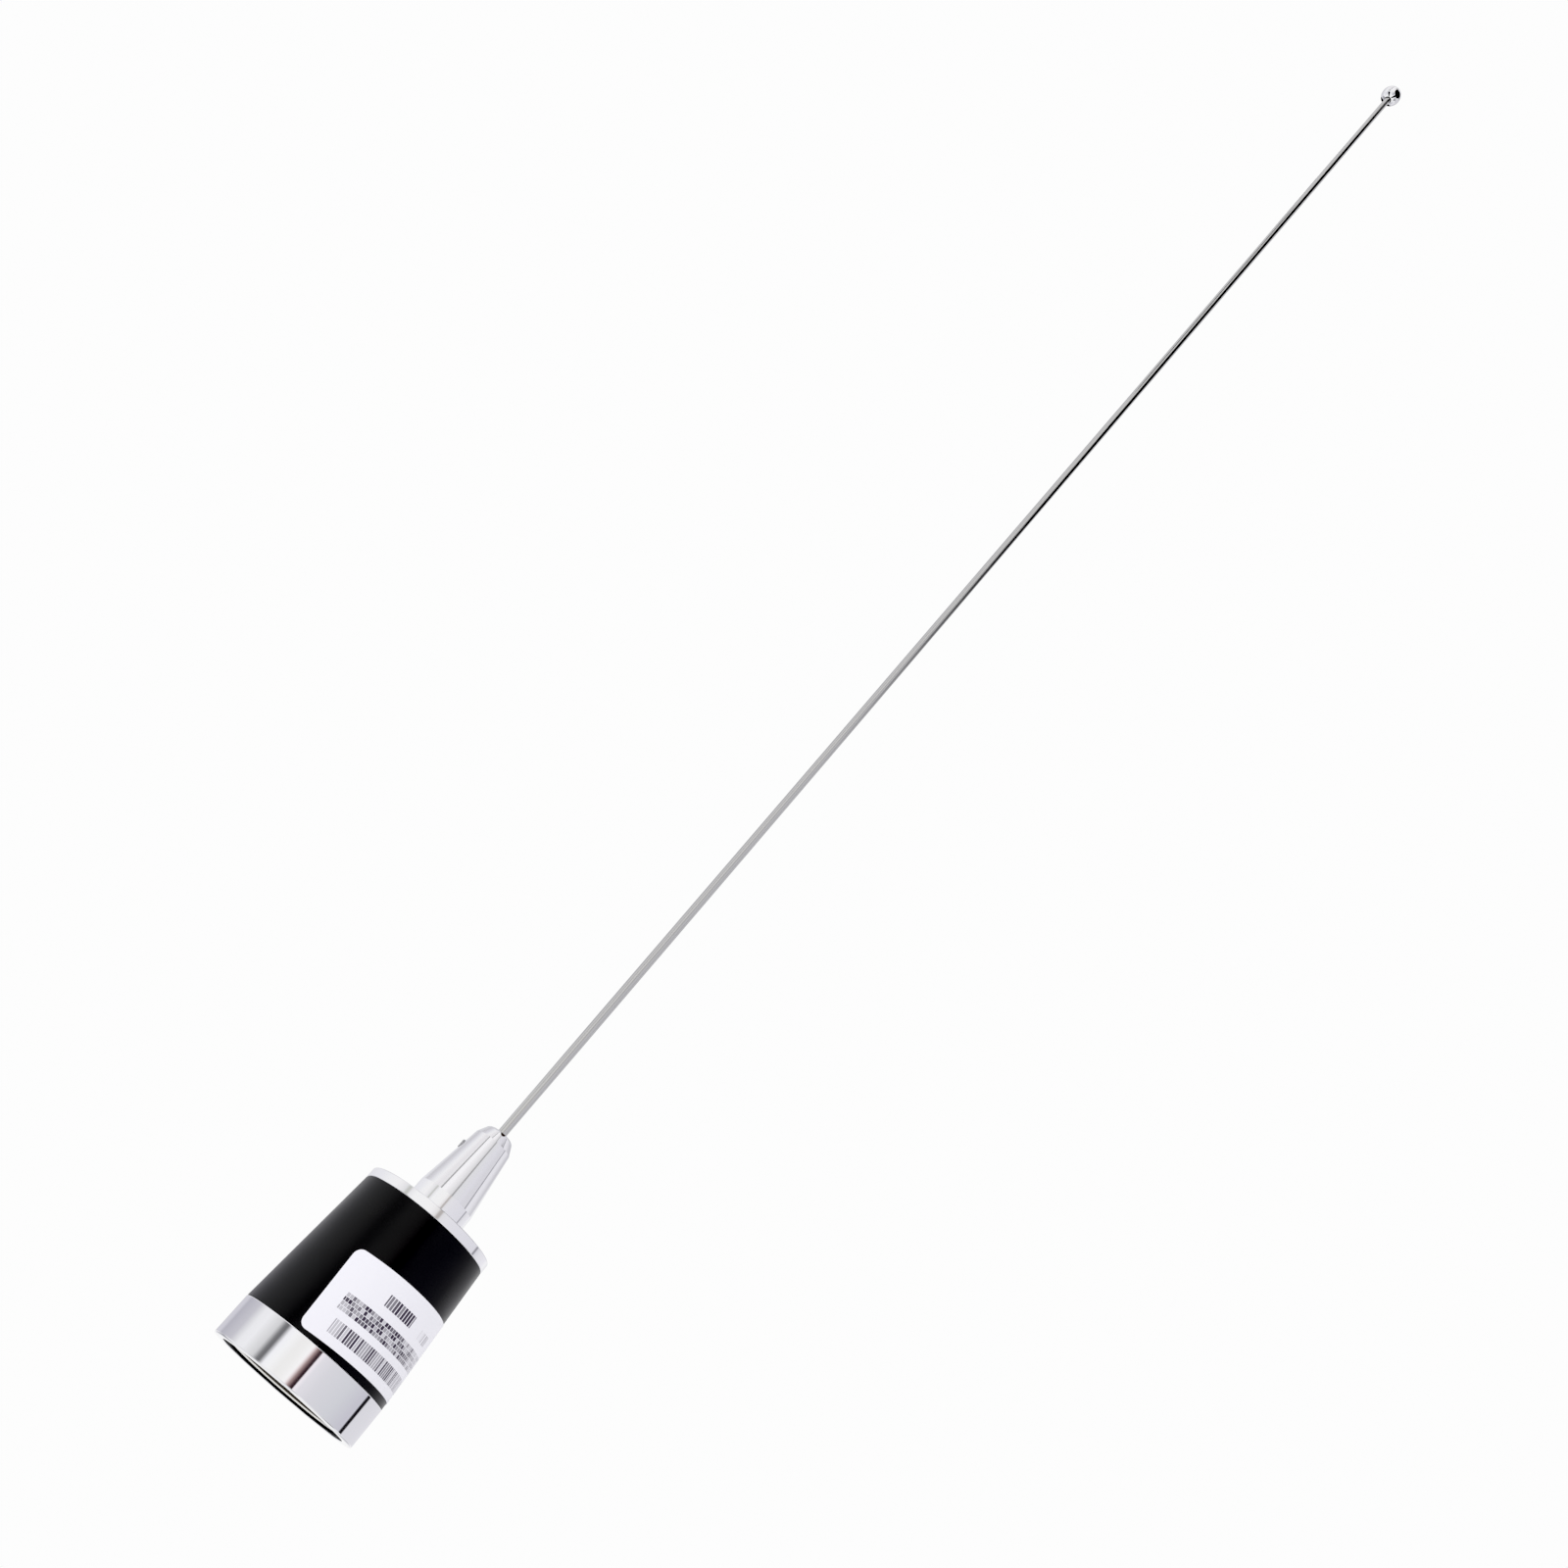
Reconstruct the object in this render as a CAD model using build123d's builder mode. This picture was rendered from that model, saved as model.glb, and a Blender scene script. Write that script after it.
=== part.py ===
from build123d import *
import os
from math import cos, pi, radians, sin

os.makedirs("parts", exist_ok=True)

# Base-loaded mobile whip antenna. Millimetres, +Z up along the whip.
# The origin is the centre of the round rim that meets the vehicle's roof.
# The side that carries the sticker's left edge faces -Y.

# Fits
seat_gap = 0.05
slide_gap = 0.05
open_gap = 0.25

# Screw base, from the 1 1/8 inch thread's minor diameter outwards
thread_r = 13.56
thread_len = 8.0
lead_in = 0.7
relief_depth = 0.7
relief_h = 1.05
insert_wall = 1.54
insert_recess = 0.65
insert_edge = 0.3
flange_ledge = 0.7
flange_t = 3.0
floor_t = 2.6
floor_bore_r = 9.0
spigot_wall = 2.2
spigot_h = 6.0
collar_h = 10.0
rim_wall = 2.5
rim_edge = 0.35
collar_edge = 0.35
web_t = 2.4
gasket_recess = 0.2
gasket_edge = 0.35
seal_side = 0.9

# Tapered sleeve
sleeve_wall = 1.85
sleeve_step = 0.05
sleeve_h = 36.0
sleeve_taper = 2.25
sleeve_top_wall = 1.5

# Top cap and stud
cap_t = 2.5
cap_edge = 0.25
cap_spigot_h = 4.0
cap_recess_h = 3.4
cap_rim_wall = 2.2
stud_r = 3.97
stud_rise = 6.0
stud_shank_r = 2.5
stud_tail = 0.8
nut_t = 2.4
nut_land = 1.5
tag_t = 0.4
tag_w = 2.0

# Sprung centre contact
contact_clear = 0.15
plunger_reach = 1.6
plunger_r = 1.2
plunger_head_h = 2.1
plunger_well_r = 1.2
plunger_well_h = 0.6
plunger_edge = 0.5
barrel_r = 2.5
barrel_wall = 0.7
barrel_lip_t = 0.8
shoulder_t = 0.5
shoulder_w = 0.9
spring_len = 6.5
spring_wire_r = 0.2
spring_turns = 5
spring_steps = 10
plug_h = 1.5
plug_head_t = 0.5
plate_t = 2.2
ridge_w = 0.8
ridge_h = 1.0
screw_r = 0.8
screw_depth = 1.7
screw_head_r = 1.6
screw_head_h = 1.0
screw_slot_w = 0.5
screw_slot_depth = 0.45
screw_count = 3

# Coil
form_wall = 2.5
coil_wire_r = 0.6
coil_turns = 5
coil_steps = 12
coil_foot = 4.8
coil_head = 5.2
tap_turns = 1.5
tap_wire_r = 0.4

# Whip and its ferrule
ferrule_r = 7.65
ferrule_collar_h = 5.5
cone_h = 16.9
cone_top_r = 5.15
nose_h = 3.1
nose_top_r = 3.55
nose_round = 0.8
notch_r = 0.6
bore_floor_t = 0.8
whip_r = 1.25
whip_len = 590.7
whip_lift = 0.5
set_screw_r = 1.25
set_screw_down = 4.7
set_screw_proud = 0.35
socket_af = 1.3
socket_depth = 1.2
ball_r = 4.0
ball_grip = 1.5

# Sticker
label_t = 0.12
label_glue = 0.02
label_up = 1.4
label_h = 20.3
label_round = 2.0
label_start = -113.0
label_wrap = 150.0

# Levels of the screw base and its contact
thread_z0 = insert_recess + lead_in
thread_z1 = thread_z0 + thread_len
floor_z0 = thread_z1 + relief_h
floor_z1 = floor_z0 + floor_t
web_z1 = floor_z1 - flange_t
web_z0 = web_z1 - web_t
spigot_z1 = collar_h + spigot_h
plate_z1 = floor_z1 + plate_t
tip_z = thread_z1 + contact_clear
barrel_z0 = tip_z + plunger_reach
boss_z = barrel_z0 + shoulder_t
bore_z0 = barrel_z0 + barrel_lip_t
spring_z0 = bore_z0 + plunger_head_h
spring_z1 = spring_z0 + spring_len
barrel_z1 = spring_z1 + plug_h

# Radii of the screw base, outwards
insert_r = thread_r + insert_wall
flange_r = insert_r + flange_ledge
spigot_bore_r = flange_r + seat_gap
spigot_r = spigot_bore_r + spigot_wall
socket_r = spigot_r + seat_gap
sleeve_r = socket_r + sleeve_wall
collar_r = sleeve_r + sleeve_step
lip_r = collar_r - rim_wall
web_bore_r = insert_r + seat_gap
gasket_r0 = insert_r + seat_gap * 4
gasket_r1 = lip_r - seat_gap * 2

# Sleeve and cap
sleeve_z1 = collar_h + sleeve_h
sleeve_top_r = sleeve_r - sleeve_taper
sleeve_bore_r = sleeve_top_r - sleeve_top_wall
cap_z1 = sleeve_z1 + cap_t
cap_r = sleeve_top_r + sleeve_step
cap_spigot_r = sleeve_bore_r - seat_gap
cap_foot_z = sleeve_z1 - cap_spigot_h
seal_groove_h = seal_side + open_gap
seal_groove_depth = seal_side + seat_gap

# Contact and coil, outwards from the barrel
barrel_bore_r = barrel_r - barrel_wall
barrel_nut_af = 2 * (barrel_r + nut_land)
barrel_nut_r = barrel_nut_af / 2 / cos(radians(30))
feed_ear_x = barrel_nut_r + open_gap
ridge_r = feed_ear_x + tag_t + ridge_w + open_gap
form_bore_r = ridge_r + seat_gap
form_r = form_bore_r + form_wall
coil_r = (form_r + seat_gap + coil_wire_r) / cos(pi / coil_steps)
coil_z0 = plate_z1 + coil_foot
coil_z1 = cap_foot_z - coil_head
coil_pitch = (coil_z1 - coil_z0) / coil_turns
tap_z = coil_z0 + tap_turns * coil_pitch
screw_circle_r = (coil_r + coil_wire_r + spigot_bore_r) / 2
lead_hole_r = coil_wire_r + seat_gap * 3

# Stud, ferrule and whip
stud_nut_af = 2 * (stud_shank_r + nut_land)
stud_nut_r = stud_nut_af / 2 / cos(radians(30))
stud_ear_x = stud_nut_r + open_gap
stud_nut_z1 = cap_foot_z - tag_t
stud_nut_z0 = stud_nut_z1 - nut_t
stud_z0 = stud_nut_z0 - stud_tail
stud_z1 = cap_z1 + stud_rise
cone_z0 = cap_z1 + ferrule_collar_h
cone_z1 = cone_z0 + cone_h
nose_z1 = cone_z1 + nose_h
whip_bore_z0 = stud_z1 + open_gap + bore_floor_t
whip_z0 = whip_bore_z0 + whip_lift
whip_z1 = whip_z0 + whip_len
ball_z = whip_z1 - ball_grip
set_screw_z = cone_z1 - set_screw_down
cone_slope = (ferrule_r - cone_top_r) / cone_h
set_screw_reach = cone_top_r + set_screw_down * cone_slope + set_screw_proud


def tag_outline(hole_r, ear_r, ear_w):
    """Solder tag seen from above: an eye round its screw and a strip towards -X."""
    with BuildSketch() as outline:
        Circle(hole_r + tag_w / 2)
        with Locations((-ear_r / 2, 0)):
            Rectangle(ear_r, ear_w)
        Circle(hole_r, mode=Mode.SUBTRACT)
    return outline.sketch


def winding_points(radius, level, rise, turns, steps):
    """Corners of a wire wound round the axis from its +X side, with so many straight steps a turn."""
    count = turns * steps
    return [
        (radius * cos(2 * pi * k / steps), radius * sin(2 * pi * k / steps), level + rise * k / count)
        for k in range(count + 1)
    ]


# Base collar: turned skirt with a web that holds the insert and a spigot for the sleeve
with BuildPart() as base_collar:
    with BuildSketch(Plane.XZ):
        with BuildLine():
            Polyline(
                (lip_r, 0),
                (collar_r, 0),
                (collar_r, collar_h),
                (spigot_r, collar_h),
                (spigot_r, spigot_z1),
                (spigot_bore_r, spigot_z1),
                (spigot_bore_r, web_z1),
                (web_bore_r, web_z1),
                (web_bore_r, web_z0),
                (lip_r, web_z0),
                close=True,
            )
        make_face()
    revolve(axis=Axis.Z)
    groove_z = collar_h + spigot_h / 2
    with BuildSketch(Plane.XZ):
        with Locations((spigot_r, groove_z)):
            Rectangle(2 * seal_groove_depth, seal_groove_h)
    revolve(axis=Axis.Z, mode=Mode.SUBTRACT)
    rim_edges = base_collar.edges().filter_by(GeomType.CIRCLE).filter_by_position(Axis.Z, -0.01, 0.01)
    chamfer(rim_edges, rim_edge)
    rings = base_collar.edges().filter_by(GeomType.CIRCLE).filter_by_position(
        Axis.Z, collar_h - 0.01, collar_h + 0.01
    )
    chamfer(rings.sort_by(SortBy.RADIUS)[-1], collar_edge)
base_collar.part.label = "base_collar"
export_step(base_collar.part, "parts/base_collar.step")

# Threaded insert: open below, with a floor that carries the contact plate
with BuildPart() as threaded_insert:
    with BuildSketch(Plane.XZ):
        with BuildLine():
            Polyline(
                (thread_r + lead_in, insert_recess),
                (insert_r - insert_edge, insert_recess),
                (insert_r, insert_recess + insert_edge),
                (insert_r, web_z1),
                (flange_r, web_z1),
                (flange_r, floor_z1),
                (floor_bore_r, floor_z1),
                (floor_bore_r, floor_z0),
                (thread_r + relief_depth, floor_z0),
                (thread_r + relief_depth, thread_z1),
                (thread_r, thread_z1),
                (thread_r, thread_z0),
                close=True,
            )
        make_face()
    revolve(axis=Axis.Z)
    with BuildSketch(Plane.XY.offset(floor_z1)):
        with PolarLocations(screw_circle_r, screw_count):
            Circle(screw_r + seat_gap)
    extrude(amount=-screw_depth, mode=Mode.SUBTRACT)
threaded_insert.part.label = "threaded_insert"
export_step(threaded_insert.part, "parts/threaded_insert.step")

# Rubber gasket that fills the groove between skirt and insert
with BuildPart() as base_gasket:
    with BuildSketch(Plane.XZ):
        with BuildLine():
            Polyline(
                (gasket_r0, gasket_recess),
                (gasket_r1, gasket_recess),
                (gasket_r1, web_z0),
                (gasket_r0, web_z0),
                close=True,
            )
        make_face()
    revolve(axis=Axis.Z)
    lips = base_gasket.edges().filter_by(GeomType.CIRCLE).group_by(Axis.Z)[0]
    chamfer(lips, gasket_edge)
base_gasket.part.label = "base_gasket"
export_step(base_gasket.part, "parts/base_gasket.step")

# Square-cut sealing ring between the collar's spigot and the sleeve
with BuildPart() as base_seal:
    with BuildSketch(Plane.XZ):
        with Locations((spigot_r - seal_side / 2 - slide_gap / 2, groove_z)):
            Rectangle(seal_side, seal_side)
    revolve(axis=Axis.Z)
base_seal.part.label = "base_seal"
export_step(base_seal.part, "parts/base_seal.step")

# Insulating plate: its boss fills the insert's floor, its ridge centres the coil form
with BuildPart() as contact_plate:
    with BuildSketch(Plane.XZ):
        with BuildLine():
            Polyline(
                (barrel_r + seat_gap, boss_z),
                (floor_bore_r - seat_gap, boss_z),
                (floor_bore_r - seat_gap, floor_z1),
                (flange_r, floor_z1),
                (flange_r, plate_z1),
                (ridge_r, plate_z1),
                (ridge_r, plate_z1 + ridge_h),
                (ridge_r - ridge_w, plate_z1 + ridge_h),
                (ridge_r - ridge_w, plate_z1),
                (barrel_r + seat_gap, plate_z1),
                close=True,
            )
        make_face()
    revolve(axis=Axis.Z)
    with BuildSketch(Plane.XY.offset(plate_z1)):
        with PolarLocations(screw_circle_r, screw_count):
            Circle(screw_r + seat_gap)
    extrude(amount=-plate_t, mode=Mode.SUBTRACT)
contact_plate.part.label = "contact_plate"
export_step(contact_plate.part, "parts/contact_plate.step")

# Three slotted screws hold the plate down. The first one also clamps the ground tag.
with BuildPart() as plate_screws:
    for turn in range(screw_count):
        lift = tag_t if turn == 0 else 0
        seat = Plane.XY.offset(plate_z1 + lift)
        with BuildSketch(seat):
            with PolarLocations(screw_circle_r, 1, start_angle=turn * 360 / screw_count):
                Circle(screw_r)
        extrude(amount=-(plate_t + screw_depth))
        with BuildSketch(seat):
            with PolarLocations(screw_circle_r, 1, start_angle=turn * 360 / screw_count):
                Circle(screw_head_r)
        extrude(amount=screw_head_h)
        with BuildSketch(seat.offset(screw_head_h)):
            with PolarLocations(screw_circle_r, 1, start_angle=turn * 360 / screw_count):
                Rectangle(2 * screw_head_r, screw_slot_w)
        extrude(amount=-screw_slot_depth, mode=Mode.SUBTRACT)
plate_screws.part.label = "plate_screws"
export_step(plate_screws.part, "parts/plate_screws.step")

# Ground tag: eye under the first screw, ear under the coil's lower end
ground_tag_plane = Plane((screw_circle_r, 0, plate_z1))
with BuildPart() as ground_tag:
    with BuildSketch(ground_tag_plane):
        add(tag_outline(screw_r + seat_gap, screw_circle_r - form_r - open_gap, tag_w))
    extrude(amount=tag_t)
ground_tag.part.label = "ground_tag"
export_step(ground_tag.part, "parts/ground_tag.step")

# Barrel of the centre contact, with a lip that keeps the plunger in
with BuildPart() as contact_barrel:
    with BuildSketch(Plane.XZ):
        with BuildLine():
            Polyline(
                (plunger_r + slide_gap, barrel_z0),
                (barrel_r + shoulder_w, barrel_z0),
                (barrel_r + shoulder_w, boss_z),
                (barrel_r, boss_z),
                (barrel_r, barrel_z1),
                (barrel_bore_r, barrel_z1),
                (barrel_bore_r, bore_z0),
                (plunger_r + slide_gap, bore_z0),
                close=True,
            )
        make_face()
    revolve(axis=Axis.Z)
contact_barrel.part.label = "contact_barrel"
export_step(contact_barrel.part, "parts/contact_barrel.step")

# Plunger: blunt tip, head that slides in the barrel, well for the spring's end
with BuildPart() as contact_plunger:
    with BuildSketch(Plane.XY.offset(tip_z)):
        Circle(plunger_r)
    extrude(amount=bore_z0 - tip_z)
    with BuildSketch(Plane.XY.offset(bore_z0)):
        Circle(barrel_bore_r - slide_gap)
    extrude(amount=plunger_head_h)
    tip_edge = contact_plunger.edges().group_by(Axis.Z)[0]
    chamfer(tip_edge, plunger_edge)
    with BuildSketch(Plane.XY.offset(spring_z0)):
        Circle(plunger_well_r / 2)
    extrude(amount=-plunger_well_h, mode=Mode.SUBTRACT)
contact_plunger.part.label = "contact_plunger"
export_step(contact_plunger.part, "parts/contact_plunger.step")

# Compression spring between the plunger's head and the plug
spring_r = barrel_bore_r - slide_gap * 2 - spring_wire_r
spring_rise = spring_len - 2 * (spring_wire_r + slide_gap)
spring_foot = spring_z0 + spring_wire_r + slide_gap
with BuildPart() as plunger_spring:
    with BuildLine() as spring_line:
        Polyline(*winding_points(spring_r, spring_foot, spring_rise, spring_turns, spring_steps))
    spring_path = spring_line.wire()
    with BuildSketch(Plane(origin=spring_path @ 0, z_dir=spring_path % 0)):
        RegularPolygon(spring_wire_r, 6)
    sweep(path=spring_path, transition=Transition.RIGHT)
plunger_spring.part.label = "plunger_spring"
export_step(plunger_spring.part, "parts/plunger_spring.step")

# Plug that closes the barrel and backs the spring
with BuildPart() as barrel_plug:
    with BuildSketch(Plane.XY.offset(spring_z1)):
        Circle(barrel_bore_r - seat_gap)
    extrude(amount=plug_h)
    with BuildSketch(Plane.XY.offset(barrel_z1)):
        Circle(barrel_r)
    extrude(amount=plug_head_t)
barrel_plug.part.label = "barrel_plug"
export_step(barrel_plug.part, "parts/barrel_plug.step")

# Hexagon nut that clamps the barrel and the feed tag to the plate
with BuildPart() as barrel_nut:
    with BuildSketch(Plane.XY.offset(plate_z1 + tag_t)):
        RegularPolygon(barrel_nut_r, 6, rotation=30)
        Circle(barrel_r + seat_gap, mode=Mode.SUBTRACT)
    extrude(amount=nut_t)
barrel_nut.part.label = "barrel_nut"
export_step(barrel_nut.part, "parts/barrel_nut.step")

# Feed tag: eye under the barrel's nut, ear bent up beside it
with BuildPart() as feed_tag:
    with BuildSketch(Plane.XY.offset(plate_z1)):
        add(tag_outline(barrel_r + seat_gap, feed_ear_x + tag_t, tag_w))
    extrude(amount=tag_t)
    with BuildSketch(Plane.XY.offset(plate_z1)):
        with Locations((-feed_ear_x - tag_t / 2, 0)):
            Rectangle(tag_t, tag_w)
    extrude(amount=tag_t + nut_t + screw_head_h)
feed_tag.part.label = "feed_tag"
export_step(feed_tag.part, "parts/feed_tag.step")

# Coil form: tube clamped between plate and cap, with a hole for each lead
with BuildPart() as coil_form:
    with BuildSketch(Plane.XY.offset(plate_z1)):
        Circle(form_r)
        Circle(form_bore_r, mode=Mode.SUBTRACT)
    extrude(amount=cap_foot_z - plate_z1)
    with BuildSketch(Plane.YZ):
        with Locations((0, tap_z)):
            Circle(tap_wire_r + seat_gap * 3)
    extrude(amount=-form_r - 1, mode=Mode.SUBTRACT)
    with BuildSketch(Plane.YZ):
        with Locations((0, coil_z1)):
            Circle(lead_hole_r)
    extrude(amount=form_r + 1, mode=Mode.SUBTRACT)
coil_form.part.label = "coil_form"
export_step(coil_form.part, "parts/coil_form.step")

# Winding: one length of enamelled wire, up from the ground tag, round the form, in to the stud's tag
lead_foot = (coil_r, 0, plate_z1 + tag_t)
lead_end = (stud_ear_x + tag_t, 0, coil_z1)
with BuildPart() as coil_winding:
    with BuildLine() as wire_line:
        Polyline(
            lead_foot,
            *winding_points(coil_r, coil_z0, coil_z1 - coil_z0, coil_turns, coil_steps),
            lead_end,
        )
    with BuildSketch(Plane(lead_foot)):
        RegularPolygon(coil_wire_r, 8)
    sweep(path=wire_line.wire(), transition=Transition.RIGHT)
coil_winding.part.label = "coil_winding"
export_step(coil_winding.part, "parts/coil_winding.step")

# Tap lead: from the winding through the form, then down to the feed tag
tap_lead_x = feed_ear_x + tag_t + tap_wire_r + slide_gap
tap_foot = (-tap_lead_x, 0, plate_z1 + ridge_h + open_gap)
with BuildPart() as tap_lead:
    with BuildLine() as tap_line:
        Polyline(
            tap_foot,
            (-tap_lead_x, 0, tap_z),
            (coil_wire_r + seat_gap - coil_r, 0, tap_z),
        )
    with BuildSketch(Plane(tap_foot)):
        RegularPolygon(tap_wire_r, 8)
    sweep(path=tap_line.wire(), transition=Transition.RIGHT)
tap_lead.part.label = "tap_lead"
export_step(tap_lead.part, "parts/tap_lead.step")

# Sleeve: tapered outside, straight bore, socket for the collar's spigot
with BuildPart() as coil_housing:
    with BuildSketch(Plane.XZ):
        with BuildLine():
            Polyline(
                (socket_r, collar_h),
                (sleeve_r, collar_h),
                (sleeve_top_r, sleeve_z1),
                (sleeve_bore_r, sleeve_z1),
                (sleeve_bore_r, spigot_z1 + open_gap),
                (socket_r, spigot_z1 + open_gap),
                close=True,
            )
        make_face()
    revolve(axis=Axis.Z)
coil_housing.part.label = "coil_housing"
export_step(coil_housing.part, "parts/coil_housing.step")

# Sticker: thin sheet on the cone of the sleeve, with rounded corners
lean = sleeve_taper / sleeve_h
label_z0 = collar_h + label_up
label_z1 = label_z0 + label_h
label_r0 = sleeve_r - label_up * lean + label_glue
label_r1 = label_r0 - label_h * lean


def corner_plane(end, level):
    """Plane on a corner of the sticker, square to its surface, with both axes towards its middle."""
    turn = radians(label_start + end * label_wrap)
    along = Vector(-sin(turn), cos(turn), 0) * (1 - 2 * end)
    up = Vector(0, 0, 1 - 2 * level)
    out = Vector(cos(turn), sin(turn), 0) * (label_r0, label_r1)[level]
    return Plane(out + Vector(0, 0, (label_z0, label_z1)[level]), x_dir=along, z_dir=along.cross(up))


with BuildPart() as label:
    with BuildSketch(Plane.XZ.rotated((0, 0, label_start))):
        with BuildLine():
            Polyline(
                (label_r0, label_z0),
                (label_r0 + label_t, label_z0),
                (label_r1 + label_t, label_z1),
                (label_r1, label_z1),
                close=True,
            )
        make_face()
    revolve(axis=Axis.Z, revolution_arc=label_wrap)
    for corner in [corner_plane(end, level) for end in (0, 1) for level in (0, 1)]:
        with BuildSketch(corner):
            Rectangle(label_round, label_round, align=(Align.MIN, Align.MIN))
            Rectangle(label_round, label_round, align=(Align.CENTER, Align.CENTER))
            with Locations((label_round, label_round)):
                Circle(label_round, mode=Mode.SUBTRACT)
        extrude(amount=label_round, both=True, mode=Mode.SUBTRACT)
label.part.label = "label"
export_step(label.part, "parts/label.step")

# Top cap: thin disc with a chamfered edge, a sealed spigot and a boss that clamps the coil form
with BuildPart() as top_cap:
    with BuildSketch(Plane.XZ):
        with BuildLine():
            Polyline(
                (stud_shank_r + seat_gap, cap_foot_z),
                (form_r + seat_gap, cap_foot_z),
                (form_r + seat_gap, cap_foot_z + cap_recess_h),
                (cap_spigot_r - cap_rim_wall, cap_foot_z + cap_recess_h),
                (cap_spigot_r - cap_rim_wall, cap_foot_z),
                (cap_spigot_r, cap_foot_z),
                (cap_spigot_r, sleeve_z1),
                (cap_r, sleeve_z1),
                (cap_r, cap_z1),
                (stud_shank_r + seat_gap, cap_z1),
                close=True,
            )
        make_face()
    revolve(axis=Axis.Z)
    cap_groove_z = cap_foot_z + cap_spigot_h / 2
    with BuildSketch(Plane.XZ):
        with Locations((cap_spigot_r, cap_groove_z)):
            Rectangle(2 * seal_groove_depth, seal_groove_h)
    revolve(axis=Axis.Z, mode=Mode.SUBTRACT)
    top_edges = top_cap.edges().filter_by(GeomType.CIRCLE).group_by(Axis.Z)[-1]
    chamfer(top_edges.sort_by(SortBy.RADIUS)[-1], cap_edge)
top_cap.part.label = "top_cap"
export_step(top_cap.part, "parts/top_cap.step")

# Square-cut sealing ring between the cap's spigot and the sleeve
with BuildPart() as cap_seal:
    with BuildSketch(Plane.XZ):
        with Locations((cap_spigot_r - seal_side / 2 - slide_gap / 2, cap_groove_z)):
            Rectangle(seal_side, seal_side)
    revolve(axis=Axis.Z)
cap_seal.part.label = "cap_seal"
export_step(cap_seal.part, "parts/cap_seal.step")

# Stud: its shank passes through the cap, its head screws into the ferrule
with BuildPart() as whip_stud:
    with BuildSketch(Plane.XY.offset(stud_z0)):
        Circle(stud_shank_r)
    extrude(amount=cap_z1 - stud_z0)
    with BuildSketch(Plane.XY.offset(cap_z1)):
        Circle(stud_r)
    extrude(amount=stud_rise)
    ends = whip_stud.edges().group_by(Axis.Z)
    chamfer(ends[-1], stud_r / 8)
    chamfer(ends[0], stud_shank_r / 8)
whip_stud.part.label = "whip_stud"
export_step(whip_stud.part, "parts/whip_stud.step")

# Nut that clamps the stud and its tag under the cap
with BuildPart() as stud_nut:
    with BuildSketch(Plane.XY.offset(stud_nut_z0)):
        RegularPolygon(stud_nut_r, 6, rotation=30)
        Circle(stud_shank_r + seat_gap, mode=Mode.SUBTRACT)
    extrude(amount=nut_t)
stud_nut.part.label = "stud_nut"
export_step(stud_nut.part, "parts/stud_nut.step")

# Stud's tag: eye above the nut, ear bent down to the coil's upper end
with BuildPart() as stud_tag:
    with BuildSketch(Plane((0, 0, stud_nut_z1), x_dir=(-1, 0, 0), z_dir=(0, 0, 1))):
        add(tag_outline(stud_shank_r + seat_gap, stud_ear_x + tag_t, tag_w))
    extrude(amount=tag_t)
    with BuildSketch(Plane.XY.offset(cap_foot_z)):
        with Locations((stud_ear_x + tag_t / 2, 0)):
            Rectangle(tag_t, tag_w)
    extrude(amount=coil_z1 - coil_wire_r - open_gap - cap_foot_z)
stud_tag.part.label = "stud_tag"
export_step(stud_tag.part, "parts/stud_tag.step")

# Ferrule: collar, long cone and rounded nose, with a socket for the stud and a bore for the whip
with BuildPart() as whip_ferrule:
    with BuildSketch(Plane.XZ) as ferrule_half:
        with BuildLine():
            Polyline(
                (stud_r + seat_gap, cap_z1),
                (ferrule_r, cap_z1),
                (ferrule_r, cone_z0),
                (cone_top_r, cone_z1),
                (nose_top_r, nose_z1),
                (whip_r + slide_gap, nose_z1),
                (whip_r + slide_gap, whip_bore_z0),
                (0, whip_bore_z0),
                (0, stud_z1 + open_gap),
                (stud_r + seat_gap, stud_z1 + open_gap),
                close=True,
            )
        make_face()
        fillet(ferrule_half.vertices().sort_by_distance((nose_top_r, nose_z1, 0))[0], nose_round)
    revolve(axis=Axis.Z)
    with BuildSketch(Plane.YZ):
        with Locations((0, set_screw_z)):
            Circle(set_screw_r + seat_gap)
    extrude(amount=-ferrule_r, mode=Mode.SUBTRACT)
    with BuildSketch(Plane.XZ):
        with Locations((0, nose_z1)):
            Circle(notch_r)
    extrude(amount=ferrule_r, mode=Mode.SUBTRACT)
whip_ferrule.part.label = "whip_ferrule"
export_step(whip_ferrule.part, "parts/whip_ferrule.step")

# Set screw with a hexagon socket, its point against the whip and its end just proud of the cone
with BuildPart() as set_screw:
    with BuildSketch(Plane.YZ.offset(-whip_r - slide_gap)):
        with Locations((0, set_screw_z)):
            Circle(set_screw_r)
    extrude(amount=-(set_screw_reach - whip_r - slide_gap))
    with BuildSketch(Plane.YZ.offset(-set_screw_reach)):
        with Locations((0, set_screw_z)):
            RegularPolygon(socket_af / 2 / cos(radians(30)), 6)
    extrude(amount=socket_depth, mode=Mode.SUBTRACT)
set_screw.part.label = "set_screw"
export_step(set_screw.part, "parts/set_screw.step")

# Whip: straight ground rod
with BuildPart() as whip:
    with BuildSketch(Plane.XY.offset(whip_z0)):
        Circle(whip_r)
    extrude(amount=whip_len)
    chamfer(whip.edges().group_by(Axis.Z)[0], whip_r / 5)
whip.part.label = "whip"
export_step(whip.part, "parts/whip.step")

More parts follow.
